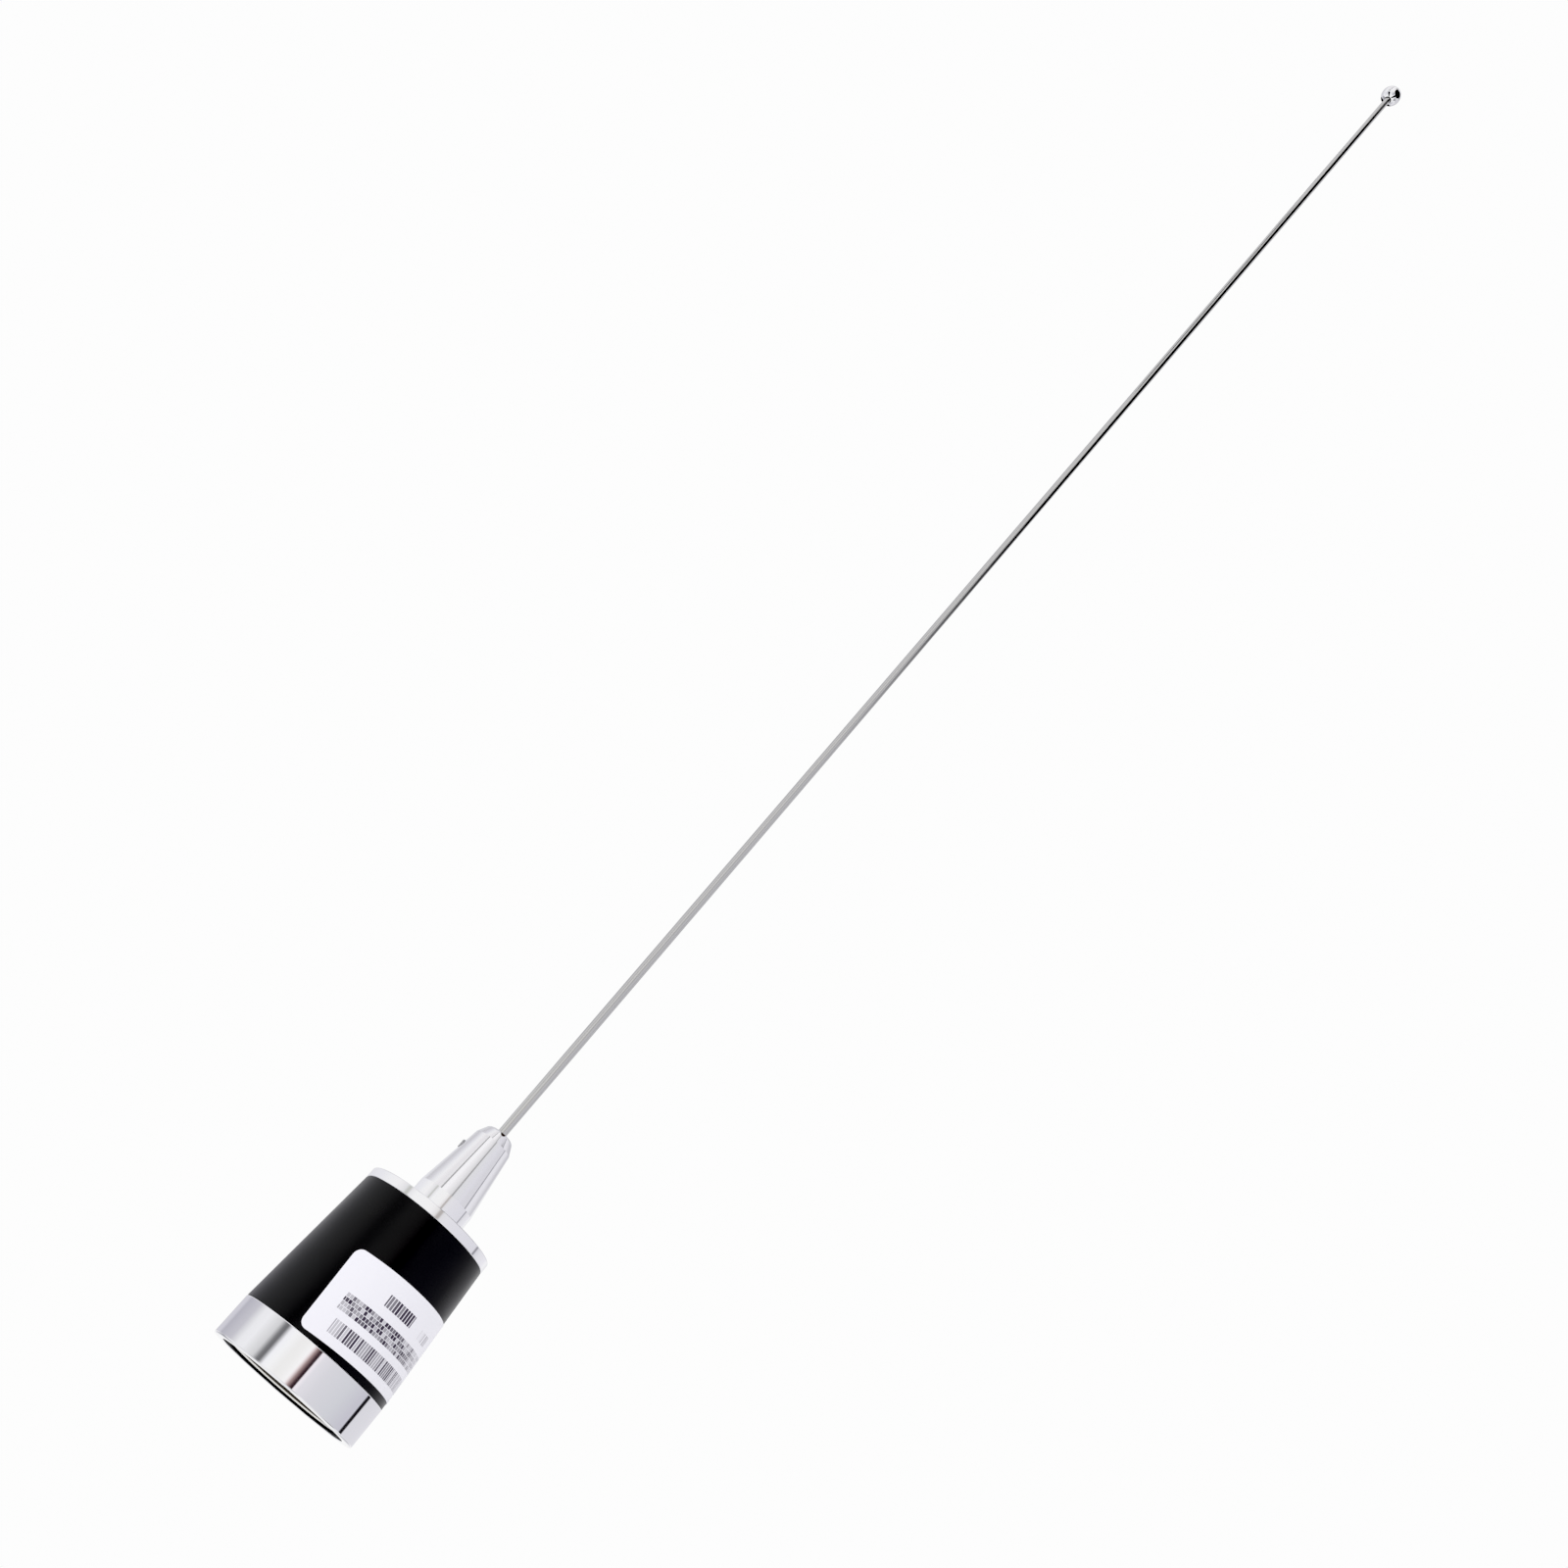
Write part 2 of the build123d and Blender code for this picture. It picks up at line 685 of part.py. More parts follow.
# Ball on the whip's tip, drilled for it
with BuildPart() as tip_ball:
    with Locations((0, 0, ball_z)):
        Sphere(ball_r)
    with BuildSketch(Plane.XY.offset(whip_z1 + seat_gap)):
        Circle(whip_r + seat_gap)
    extrude(amount=-(ball_r + ball_grip + 1), mode=Mode.SUBTRACT)
tip_ball.part.label = "tip_ball"
export_step(tip_ball.part, "parts/tip_ball.step")
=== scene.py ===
# %% [markdown]
# # A mobile whip antenna, finished for its picture
#
# The antenna screws onto a vehicle's roof. A chromed collar holds a threaded insert, a tapered black
# sleeve hides the coil, and a chromed ferrule grips a long ground rod with a ball on its tip. The solids
# come packed and fixed. This script keeps the ones whose shape is already right, turns finer copies of
# the ones that show, and gives every surface the finish that the real maker gave it.

# %% Load the fixed frame
from math import atan, atan2, cos, hypot, pi, radians, sin

import bmesh
import bpy
from mathutils import Matrix, Vector


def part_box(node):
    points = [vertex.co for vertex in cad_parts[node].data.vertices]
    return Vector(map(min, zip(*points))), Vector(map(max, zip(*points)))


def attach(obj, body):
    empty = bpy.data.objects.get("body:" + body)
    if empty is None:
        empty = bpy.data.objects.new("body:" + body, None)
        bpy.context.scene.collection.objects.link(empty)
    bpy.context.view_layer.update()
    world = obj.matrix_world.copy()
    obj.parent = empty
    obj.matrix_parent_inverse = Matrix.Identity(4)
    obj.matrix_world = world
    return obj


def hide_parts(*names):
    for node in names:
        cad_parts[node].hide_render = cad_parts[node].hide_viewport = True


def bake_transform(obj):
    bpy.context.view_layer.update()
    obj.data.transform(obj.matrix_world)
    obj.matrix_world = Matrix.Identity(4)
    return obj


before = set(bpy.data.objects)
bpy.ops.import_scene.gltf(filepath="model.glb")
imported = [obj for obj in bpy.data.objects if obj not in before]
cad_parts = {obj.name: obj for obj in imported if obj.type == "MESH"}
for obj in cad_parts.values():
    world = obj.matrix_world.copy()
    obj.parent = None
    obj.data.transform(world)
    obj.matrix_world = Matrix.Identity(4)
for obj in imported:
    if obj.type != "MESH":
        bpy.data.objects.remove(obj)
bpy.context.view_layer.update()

# %% [markdown]
# Drawings of turned parts give radii and levels in millimetres, while Blender works in metres. So the
# script keeps millimetres for every size and converts once, when a point is made. The frame's boxes give
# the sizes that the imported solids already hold.

# %% Millimetres, and sizes read from the frame
MM = 0.001


def span(node, axis=2):
    """Lowest and highest place of a node along one axis, in millimetres."""
    low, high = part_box(node)
    return low[axis] / MM, high[axis] / MM


collar_r = span("base_collar", 0)[1]
spigot_z1 = span("base_collar")[1]
insert_z0, insert_z1 = span("threaded_insert")
flange_r = span("threaded_insert", 0)[1]
sleeve_z0, sleeve_z1 = span("coil_housing")
sleeve_r = span("coil_housing", 0)[1]
cap_foot_z, cap_z1 = span("top_cap")
cap_r = span("top_cap", 0)[1]
nose_z1 = span("whip_ferrule")[1]
ferrule_r = span("whip_ferrule", 1)[1]
whip_z0, whip_z1 = span("whip")
whip_r = span("whip", 0)[1]
ball_top = span("tip_ball")[1]
print("collar radius", round(collar_r, 2), "sleeve", round(sleeve_z0, 2), "to", round(sleeve_z1, 2))

# %% [markdown]
# ## Camera
#
# The photograph is taken from close by and a little below the rim, looking up along the rod, so the base
# looks stout and the rod thins towards its tip. Three real measures set it: how far the lens stands from
# the rod's axis, where on the rod it aims, and how steeply it looks up. The rod leans across the picture
# because the camera is rolled, not because the antenna is tilted.

# %% Place the camera
PHOTO_SIDE = 1600
FOCAL_PX = 1605
SENSOR_WIDTH = 36
CLIP_START = 0.01
CLIP_END = 50
CAMERA_BACK = 391.4
CAMERA_BELOW = 17.9
CAMERA_LEFT = 3.8
LOOK_UP = radians(29.2)
ROLL = radians(40.86)

camera_data = bpy.data.cameras.new("camera")
camera_data.sensor_width = SENSOR_WIDTH
camera_data.lens = SENSOR_WIDTH * FOCAL_PX / PHOTO_SIDE
camera_data.clip_start = CLIP_START
camera_data.clip_end = CLIP_END
camera = bpy.data.objects.new("camera", camera_data)
bpy.context.scene.collection.objects.link(camera)
forward = Vector((0, cos(LOOK_UP), sin(LOOK_UP)))
level_up = Vector((0, -sin(LOOK_UP), cos(LOOK_UP)))
level_right = Vector((1, 0, 0))
view_up = level_up * cos(ROLL) - level_right * sin(ROLL)
view_right = level_right * cos(ROLL) + level_up * sin(ROLL)
place = Matrix((view_right, view_up, -forward)).transposed().to_4x4()
place.translation = Vector((-CAMERA_LEFT, -CAMERA_BACK, -CAMERA_BELOW)) * MM
camera.matrix_world = place
bpy.context.scene.camera = camera
print("lens", round(camera_data.lens, 2), "mm, at", [round(x / MM, 1) for x in place.translation])

# %% [markdown]
# ## Colours and nodes
#
# Colours are written as the hex values that a picture editor shows, and one function turns them into
# linear light. One more function adds a node with its settings and its links, which keeps each material
# short enough to read as a recipe.

# %% Colour and node helpers


def linear(hex_colour):
    """Linear RGBA from an sRGB hex value such as e1e3e8."""
    channels = [int(hex_colour[k : k + 2], 16) / 255 for k in (0, 2, 4)]
    return (*[c / 12.92 if c <= 0.04045 else ((c + 0.055) / 1.055) ** 2.4 for c in channels], 1.0)


def add(tree, kind, inputs=(), **settings):
    """Adds a node. inputs maps a socket to a value, or to another node's output, which is linked."""
    node = tree.nodes.new(kind)
    for name, value in settings.items():
        setattr(node, name, value)
    for socket, value in dict(inputs).items():
        if isinstance(value, bpy.types.NodeSocket):
            tree.links.new(value, node.inputs[socket])
        else:
            node.inputs[socket].default_value = value
    return node


def new_tree(name):
    """A named material with an empty node tree, and its Principled shader wired to the output."""
    material = bpy.data.materials.new(name)
    material.use_nodes = True
    tree = material.node_tree
    tree.nodes.clear()
    shader = add(tree, "ShaderNodeBsdfPrincipled")
    add(tree, "ShaderNodeOutputMaterial", {"Surface": shader.outputs[0]})
    return material, tree, shader


print("white in linear light:", linear("ffffff"))

# %% [markdown]
# ## The studio
#
# Bright metal has no colour of its own: it shows the room. In the photograph the chrome carries upright
# bands, because a round upright part spreads the whole room across its width. So the studio is a light
# tent with a few dark cards, given as a list of compass bearings and greys. Bearing 0 is behind the
# camera, and positive is to its right. The low list is the room at eye level, which the collar shows. The
# middle list is what the disc and the ferrule's collar show, and the high list is for the cone, which leans
# back and so looks a third of the way up. A dark flag still higher up draws the dark line along the upper
# half of the rod, and its right edge leans, so it stays out of the nose. Under the horizon lies the white
# table, which the rounded rims pick up as thin bright lines. A few cards lie flat on it, for a look from
# above, because chrome that shows nothing but a white table can't be told from it.

# %% The tent's cards, by bearing in degrees
LOW_CARDS = [
    (-180, "d5d4da"), (-146, "d5d4dc"), (-136, "bebdc6"), (-131, "c1c0c9"), (-108, "cecdd4"),
    (-99, "e4e4e7"), (-92, "f3f3f5"), (-80, "f6f6f8"), (-68, "e6e6e7"), (-60, "dadadb"), (-53, "848486"),
    (-48.5, "757577"), (-42, "fafafd"), (-34, "fdfdfd"), (-23, "f6f5f3"), (-15, "f8f7f5"), (-6, "fffefd"),
    (-4, "f4eaea"), (0, "a89291"), (4, "54464a"), (7.5, "352c2e"), (8.5, "fdf6fb"), (14, "e9e7ec"),
    (30, "e0dfe4"), (66, "d8d9de"), (92, "cecdd6"), (98.5, "cecdd6"), (100, "333234"), (106, "333234"),
    (107, "e2e1e6"), (180, "e6e5ea"),
]
MIDDLE_CARDS = [
    (-180, "e2e2e6"), (-132, "efeff3"), (-120, "f0f0f4"), (-98, "f8f8f9"), (-79, "fbfafa"), (-66, "f1f0f1"),
    (-60, "e9e9ea"), (-56, "cdceca"), (-53, "cdceca"), (-50, "f0eff1"), (-41, "fbfbfb"), (-9, "fbfaf9"),
    (-4, "f6f4f4"), (2, "eceae9"), (5, "c0bab7"), (8.5, "bdb8b5"), (11.5, "e8e7e9"), (18, "ebeaed"),
    (32, "e9e8ed"), (60, "e6e5eb"), (91, "e3e2e8"), (93, "9c9ba1"), (95.5, "9c9ba1"), (97.5, "dddce2"),
    (106, "e9e8ec"), (132, "f0eff4"), (146, "f9f9fa"), (180, "e2e2e6"),
]
HIGH_CARDS = [
    (-180, "d8d8dc"), (-148, "dedee1"), (-125, "d1d0d4"), (-109, "dedde2"), (-95, "eeeef1"),
    (-83, "f7f7f8"), (-72, "f5f3f4"), (-62, "eeecee"), (-46.5, "f0eff0"), (-45.5, "9a999a"),
    (-41.5, "9a999a"), (-40, "fefdfe"), (-26, "fefdfe"), (-17, "f6f4f5"), (-8, "efeeef"), (5, "e0dfe0"),
    (6.5, "a3a2a3"), (10.5, "a3a2a3"), (12.5, "e6e6e8"), (45, "e5e4ea"), (62, "dfdee3"),
    (79.5, "dfdee3"), (81, "9f9ea5"), (84.5, "9f9ea5"), (86, "ebeaee"), (96, "eeedf2"), (109, "e9e8ec"),
    (125, "d7d6db"), (148, "c9c8cd"), (180, "d8d8dc"),
]
TABLE = [(-180, "f8f8f8"), (180, "f8f8f8")]
TABLE_CARDS = [
    (-180, "f2f2f4"), (-150, "c9c9cf"), (-128, "8f8f96"), (-118, "f7f7f9"), (-70, "dedee3"),
    (-52, "7d7d83"), (-44, "fafafb"), (-10, "e9e9ec"), (8, "a9a9af"), (24, "f4f4f6"), (60, "d5d5da"),
    (88, "8a8a90"), (96, "f6f6f8"), (140, "c4c4ca"), (160, "f2f2f4"), (180, "f2f2f4"),
]
TABLE_NEAR = (-42, -34)
TABLE_FAR = (-8, -5)
TABLE_EDGE = (-1.5, 0.5)
LOW_TO_MIDDLE = (6.5, 9)
MIDDLE_TO_HIGH = (14, 18)
FLAG_EDGES = (3, 17, 90, 102)
FLAG_RISE = (29.5, 42)
FLAG_FALL = (59.5, 61.5)
FLAG_LEAN = 25
FLAG_LEAN_FROM, FLAG_LEAN_TO = sin(radians(47)), sin(radians(59))
FLAG_COLOUR = "0c0c0c"
TENT_LIGHT = 1.0
BACKDROP = "fdfdfd"
BLACK_POINT = 0.028

# %% Build the tent as the world
world = bpy.data.worlds.new("light_tent")
bpy.context.scene.world = world
world.use_nodes = True
sky = world.node_tree
sky.nodes.clear()
heading = add(sky, "ShaderNodeTexCoord")
ray = add(sky, "ShaderNodeSeparateXYZ", {0: heading.outputs["Generated"]})
flipped_y = add(sky, "ShaderNodeMath", {0: ray.outputs[1], 1: -1.0}, operation="MULTIPLY")
bearing = add(sky, "ShaderNodeMath", {0: ray.outputs[0], 1: flipped_y.outputs[0]}, operation="ARCTAN2")
turn = add(sky, "ShaderNodeMapRange", {0: bearing.outputs[0], 1: -pi, 2: pi})


def set_stops(ramp, cards):
    """Fills a colour ramp that goes once round the horizon, from bearings in degrees and colours."""
    stops = ramp.color_ramp.elements
    while len(stops) < len(cards):
        stops.new(1.0)
    for stop, (degrees_round, colour) in zip(stops, cards):
        stop.position = (degrees_round + 180) / 360
        stop.color = linear(colour)


bands = linear(TABLE[0][1])
for cards, edge in (
    (TABLE_CARDS, TABLE_NEAR), (TABLE, TABLE_FAR), (LOW_CARDS, TABLE_EDGE),
    (MIDDLE_CARDS, LOW_TO_MIDDLE), (HIGH_CARDS, MIDDLE_TO_HIGH),
):
    level_cards = add(sky, "ShaderNodeValToRGB", {0: turn.outputs[0]})
    set_stops(level_cards, cards)
    step = add(
        sky, "ShaderNodeMapRange", {0: ray.outputs[2], 1: sin(radians(edge[0])), 2: sin(radians(edge[1]))},
        interpolation_type="SMOOTHSTEP",
    )
    both = {0: step.outputs[0], 6: bands, 7: level_cards.outputs[0]}
    bands = add(sky, "ShaderNodeMix", both, data_type="RGBA").outputs[2]

lean = add(
    sky, "ShaderNodeMapRange",
    {0: ray.outputs[2], 1: FLAG_LEAN_FROM, 2: FLAG_LEAN_TO, 3: 0.0, 4: FLAG_LEAN / 360}, clamp=False,
)
leaning = add(sky, "ShaderNodeMath", {0: turn.outputs[0], 1: lean.outputs[0]}, operation="ADD")
flag = add(sky, "ShaderNodeValToRGB", {0: leaning.outputs[0]})
set_stops(
    flag,
    [(-180, "000000"), (FLAG_EDGES[0], "000000"), (FLAG_EDGES[1], "ffffff"),
     (FLAG_EDGES[2], "ffffff"), (FLAG_EDGES[3], "000000"), (180, "000000")],
)
for edge, strengths in ((FLAG_RISE, (0.0, 1.0)), (FLAG_FALL, (1.0, 0.0))):
    from_height, to_height = sin(radians(edge[0])), sin(radians(edge[1]))
    step = add(
        sky, "ShaderNodeMapRange",
        {0: ray.outputs[2], 1: from_height, 2: to_height, 3: strengths[0], 4: strengths[1]},
        interpolation_type="SMOOTHSTEP",
    )
    flag = add(sky, "ShaderNodeMath", {0: flag.outputs[0], 1: step.outputs[0]}, operation="MULTIPLY")
over_bands = {0: flag.outputs[0], 6: bands, 7: linear(FLAG_COLOUR)}
flagged = add(sky, "ShaderNodeMix", over_bands, data_type="RGBA")
path = add(sky, "ShaderNodeLightPath")
mirrored = add(sky, "ShaderNodeBackground", {"Color": flagged.outputs[2], "Strength": TENT_LIGHT})
plain = add(sky, "ShaderNodeBackground", {"Color": linear(BACKDROP), "Strength": 1.0})
by_ray = {0: path.outputs["Is Glossy Ray"], 1: plain.outputs[0], 2: mirrored.outputs[0]}
soft = add(sky, "ShaderNodeMixShader", by_ray)
add(sky, "ShaderNodeOutputWorld", {"Surface": soft.outputs[0]})
look = bpy.context.scene.view_settings
look.view_transform = "Standard"
look.use_curve_mapping = True
look.curve_mapping.black_level = (BLACK_POINT, BLACK_POINT, BLACK_POINT)
look.curve_mapping.update()
print("cards:", len(LOW_CARDS), "low,", len(MIDDLE_CARDS), "middle,", len(HIGH_CARDS), "high")

# %% [markdown]
# The antenna stands on a pale floor. The photograph looks at it from just below the rim, where a real
# table would hide it, so the floor's underside lets the view through, and its top side is painted board.

# %% Floor and key light
# Places and sizes in metres.
FLOOR_SIDE = 6.0
KEY_SIZE = 1.6
KEY_WATTS = 14
KEY_PLACE = (-1.5, -1.2, 1.9)
KEY_AIM = (0, 0, 0.05)

floor_board, floor_tree, floor_paint = new_tree("painted_board_matt")
floor_paint.inputs["Base Color"].default_value = linear("f1f1f2")
floor_paint.inputs["Roughness"].default_value = 0.9
floor_paint.inputs["Specular IOR Level"].default_value = 0.1
side = add(floor_tree, "ShaderNodeNewGeometry")
clear = add(floor_tree, "ShaderNodeBsdfTransparent")
through = add(
    floor_tree, "ShaderNodeMixShader",
    {0: side.outputs["Backfacing"], 1: floor_paint.outputs[0], 2: clear.outputs[0]},
)
floor_out = [n for n in floor_tree.nodes if n.type == "OUTPUT_MATERIAL"][0]
floor_tree.links.new(through.outputs[0], floor_out.inputs["Surface"])

floor_mesh = bpy.data.meshes.new("floor")
shape = bmesh.new()
bmesh.ops.create_grid(shape, x_segments=1, y_segments=1, size=FLOOR_SIDE / 2)
shape.to_mesh(floor_mesh)
shape.free()
floor = bpy.data.objects.new("floor", floor_mesh)
bpy.context.scene.collection.objects.link(floor)
floor.data.materials.append(floor_board)
floor.visible_glossy = False

key_data = bpy.data.lights.new("key_softbox", "AREA")
key_data.shape = "DISK"
key_data.size = KEY_SIZE
key_data.energy = KEY_WATTS
key = bpy.data.objects.new("key_softbox", key_data)
bpy.context.scene.collection.objects.link(key)
key.location = KEY_PLACE
key.rotation_mode = "QUATERNION"
key.rotation_quaternion = (Vector(KEY_AIM) - key.location).to_track_quat("-Z", "Y")
key.visible_glossy = False
key.visible_camera = False
print("floor", FLOOR_SIDE, "m wide, key light", key_data.energy, "W")

# %% [markdown]
# ## Finishes
#
# Chrome plate on turned brass is the brightest of the metals here. It is laid over a polished surface,
# so it is nearly a mirror, with a trace of haze and of the lathe's rings left under the plate.

# %% Metals
# In mm: how long a ring keeps its shade, the tool's feed, the depth of its marks, and the haze's clouds.
RING_LENGTH = 20
TURN_FEED = 0.1
MARK_DEPTH = 0.002
CLOUD_SIZE = 4
# The noise between these two values spans the whole spread of roughness.
NOISE_LOW, NOISE_HIGH = 0.3, 0.7


def turned_metal(name, colour, roughness, marks, haze=0.03):
    """A lathe-turned metal: rings along Z at the feed of the tool, and cloudy handling haze."""
    material, tree, shader = new_tree(name)
    place_on = add(tree, "ShaderNodeTexCoord")
    per_metre = (1 / (RING_LENGTH * MM), 1 / (RING_LENGTH * MM), 1 / (TURN_FEED * MM))
    stretch = add(tree, "ShaderNodeMapping", {"Vector": place_on.outputs["Object"], "Scale": per_metre})
    rings = add(tree, "ShaderNodeTexNoise", {"Vector": stretch.outputs[0], "Scale": 1.0, "Detail": 2.0})
    clouds = add(
        tree, "ShaderNodeTexNoise",
        {"Vector": place_on.outputs["Object"], "Scale": 1 / (CLOUD_SIZE * MM)},
    )
    shine = add(
        tree, "ShaderNodeMapRange",
        {0: clouds.outputs[0], 1: NOISE_LOW, 2: NOISE_HIGH, 3: roughness, 4: roughness + haze},
    )
    relief = add(
        tree, "ShaderNodeBump",
        {"Height": rings.outputs[0], "Strength": marks, "Distance": MARK_DEPTH * MM},
    )
    shader.inputs["Base Color"].default_value = linear(colour)
    shader.inputs["Metallic"].default_value = 1.0
    tree.links.new(shine.outputs[0], shader.inputs["Roughness"])
    tree.links.new(relief.outputs[0], shader.inputs["Normal"])
    return material


chrome_plate = turned_metal("chrome_plate_polished", "f4f4f6", 0.035, 0.15)
chrome_satin = turned_metal("chrome_plate_fine_turned", "f4f4f6", 0.07, 0.4)
nickel_plate = turned_metal("nickel_plate_cut_thread", "e6e5e1", 0.2, 0.5)
# Dark brown-grey painted shade: this darker metal stands in for the shade inside cut threads, notches,
# sockets and bores.
painted_shade_brass = turned_metal("painted_shade_in_deep_cuts", "403a34", 0.4, 0.3)
ground_steel = turned_metal("stainless_rod_centreless_ground", "cbcbca", 0.11, 0.6)
zinc_steel = turned_metal("stainless_screw_plain", "b8b8ba", 0.3, 0.4)
brass_bar = turned_metal("brass_turned_bar", "d9b968", 0.25, 0.5)
gold_flash = turned_metal("gold_flash_contact", "e8c268", 0.18, 0.3)
tin_sheet = turned_metal("tinned_brass_sheet", "cfcec8", 0.35, 0.2)
spring_steel = turned_metal("spring_steel_drawn", "a9a9ac", 0.3, 0.3)
print("metals:", len([m for m in bpy.data.materials if m.name != "painted_board_matt"]))

# %% [markdown]
# The sleeve is moulded black plastic with a satin surface. Its colour says little, and its soft sheen at
# the edges says most of what the eye sees. Rubber is the same black with no sheen, and the turned acetal
# plate lies between them.

# %% Plastics, rubber and enamel
PATCH_SIZE = 9
SHEEN_SPREAD = 0.03


def moulded(name, colour, roughness, grain_mm, depth, specular=0.5):
    """A plain moulded surface with a fine grain of a real size."""
    material, tree, shader = new_tree(name)
    place_on = add(tree, "ShaderNodeTexCoord")
    grain = add(
        tree, "ShaderNodeTexNoise",
        {"Vector": place_on.outputs["Object"], "Scale": 1 / (grain_mm * MM), "Detail": 3.0},
    )
    patches = add(
        tree, "ShaderNodeTexNoise",
        {"Vector": place_on.outputs["Object"], "Scale": 1 / (PATCH_SIZE * MM)},
    )
    sheen = add(
        tree, "ShaderNodeMapRange",
        {0: patches.outputs[0], 1: NOISE_LOW, 2: NOISE_HIGH,
         3: roughness - SHEEN_SPREAD, 4: roughness + SHEEN_SPREAD},
    )
    relief = add(
        tree, "ShaderNodeBump",
        {"Height": grain.outputs[0], "Strength": 0.5, "Distance": depth * MM},
    )
    shader.inputs["Base Color"].default_value = linear(colour)
    shader.inputs["Specular IOR Level"].default_value = specular
    tree.links.new(sheen.outputs[0], shader.inputs["Roughness"])
    tree.links.new(relief.outputs[0], shader.inputs["Normal"])
    return material


sleeve_plastic = moulded("abs_black_moulded_satin", "050506", 0.3, 0.25, 0.002, 0.45)
seal_rubber = moulded("nitrile_rubber_moulded", "0c0c0c", 0.75, 0.3, 0.01, 0.3)
acetal = moulded("acetal_black_turned", "323236", 0.4, 0.3, 0.004)
natural_nylon = moulded("nylon_natural_turned", "d9d5c8", 0.45, 0.4, 0.004)
enamel_wire = turned_metal("copper_wire_enamelled", "b8622e", 0.2, 0.2)
print("plastics made, copper wire added")

# %% [markdown]
# The sticker is white vinyl film. On the real one it carries print, which this part leaves off: in its
# place are a few rows of plain bars, a generic pattern with no letters. The pattern has to follow the film,
# so it reads the film's own flat map: the piece below is cut flat and then wrapped, and the map still knows
# each point's place on the flat film. A brick texture lays each row, because it gives every brick a grey of
# its own, and the ink grows faint to the right, as it does in the photograph.

# %% Sticker film with rows of bars
FILM_WIDTH = 50.3
FILM_HEIGHT = 20.3
INK = "3a3145"
FILM_WHITE = "eeedf4"
FILM_ROUGHNESS = 0.38
# Foot and start on the film in mm, number of bars, their width, gap and height in mm, courses, and how far
# the greys lean to ink.
ROWS = [
    (13.3, 12.6, 10, 0.86, 0.22, 3.0, 1, 0.7),
    (13.0, 25.3, 9, 0.55, 0.14, 2.4, 1, 0.0),
    (7.15, 4.6, 38, 0.84, 0.12, 1.025, 4, 0.3),
    (2.05, 6.0, 44, 0.7, 0.2, 3.5, 1, 0.3),
]
INK_FADES = (24.0, 36.0)

film, film_tree, film_shader = new_tree("vinyl_film_white")
film_map = add(film_tree, "ShaderNodeUVMap", uv_map="flat_film")
film_size = {0: film_map.outputs[0], "Scale": (FILM_WIDTH, FILM_HEIGHT, 1)}
film_at = add(film_tree, "ShaderNodeMapping", film_size)
film_place = add(film_tree, "ShaderNodeSeparateXYZ", {0: film_at.outputs[0]})
film_x, film_y = film_place.outputs[0], film_place.outputs[1]
fade = add(film_tree, "ShaderNodeMapRange", {0: film_x, 1: INK_FADES[0], 2: INK_FADES[1], 3: 1.0, 4: 0.2})
printed = linear("000000")
for foot, start, bars, bar, gap, course, courses, lean_to_ink in ROWS:
    from_foot = add(film_tree, "ShaderNodeMapping", {0: film_at.outputs[0], "Location": (-start, -foot, 0)})
    bricks = add(
        film_tree, "ShaderNodeTexBrick",
        {"Vector": from_foot.outputs[0], "Color1": linear("000000"), "Color2": linear("ffffff"),
         "Mortar": linear("000000"), "Scale": 1.0, "Mortar Size": gap / 2, "Mortar Smooth": 0.0,
         "Bias": lean_to_ink, "Brick Width": bar, "Row Height": course},
        offset=0.5, squash=1.0,
    )
    across = {0: film_x, 1: start + bars * bar / 2, 2: bars * bar / 2}
    upright = {0: film_y, 1: foot + courses * course / 2, 2: courses * course / 2}
    wide = add(film_tree, "ShaderNodeMath", across, operation="COMPARE")
    tall = add(film_tree, "ShaderNodeMath", upright, operation="COMPARE")
    box = add(film_tree, "ShaderNodeMath", {0: wide.outputs[0], 1: tall.outputs[0]}, operation="MULTIPLY")
    row_ink = {0: box.outputs[0], 6: printed, 7: bricks.outputs[0]}
    printed = add(film_tree, "ShaderNodeMix", row_ink, data_type="RGBA").outputs[2]
faded = add(film_tree, "ShaderNodeMath", {0: printed, 1: fade.outputs[0]}, operation="MULTIPLY")
film_colours = {0: faded.outputs[0], 6: linear(FILM_WHITE), 7: linear(INK)}
film_colour = add(film_tree, "ShaderNodeMix", film_colours, data_type="RGBA")
film_tree.links.new(film_colour.outputs[2], film_shader.inputs["Base Color"])
film_shader.inputs["Roughness"].default_value = FILM_ROUGHNESS
print("rows of bars:", len(ROWS))

# %% [markdown]
# ## Turned pieces
#
# Most of what shows was made on a lathe, so most new pieces are made like that here: draw half of the
# section as a face, round its corners with a vertex bevel, drop the face, and spin the outline about the
# axis. A mirror finish is a hard judge of shading: where a broad face meets a narrow rounding, plain smooth
# shading would tilt the reflection across the whole broad face. Weighted normals let the larger face
# decide, so that the bend of the light stays inside the rounding.

# %% The lathe
SPIN_STEPS = 192
SMOOTH_UNDER = radians(35)


def outline(corners, rounds=None, segments=5):
    """A bmesh with a closed outline in the XZ plane. rounds maps a corner's number to its radius in mm."""
    section = bmesh.new()
    points = [section.verts.new((r * MM, 0, z * MM)) for r, z in corners]
    face = section.faces.new(points)
    for number, radius in (rounds or {}).items():
        bmesh.ops.bevel(
            section, geom=[points[number]], offset=radius * MM, offset_type="OFFSET",
            segments=segments, profile=0.5, affect="VERTICES", material=-1,
        )
    bmesh.ops.delete(section, geom=section.faces[:], context="FACES_ONLY")
    on_axis = [e for e in section.edges if all(abs(v.co.x) < 1e-7 for v in e.verts)]
    bmesh.ops.delete(section, geom=on_axis, context="EDGES")
    return section


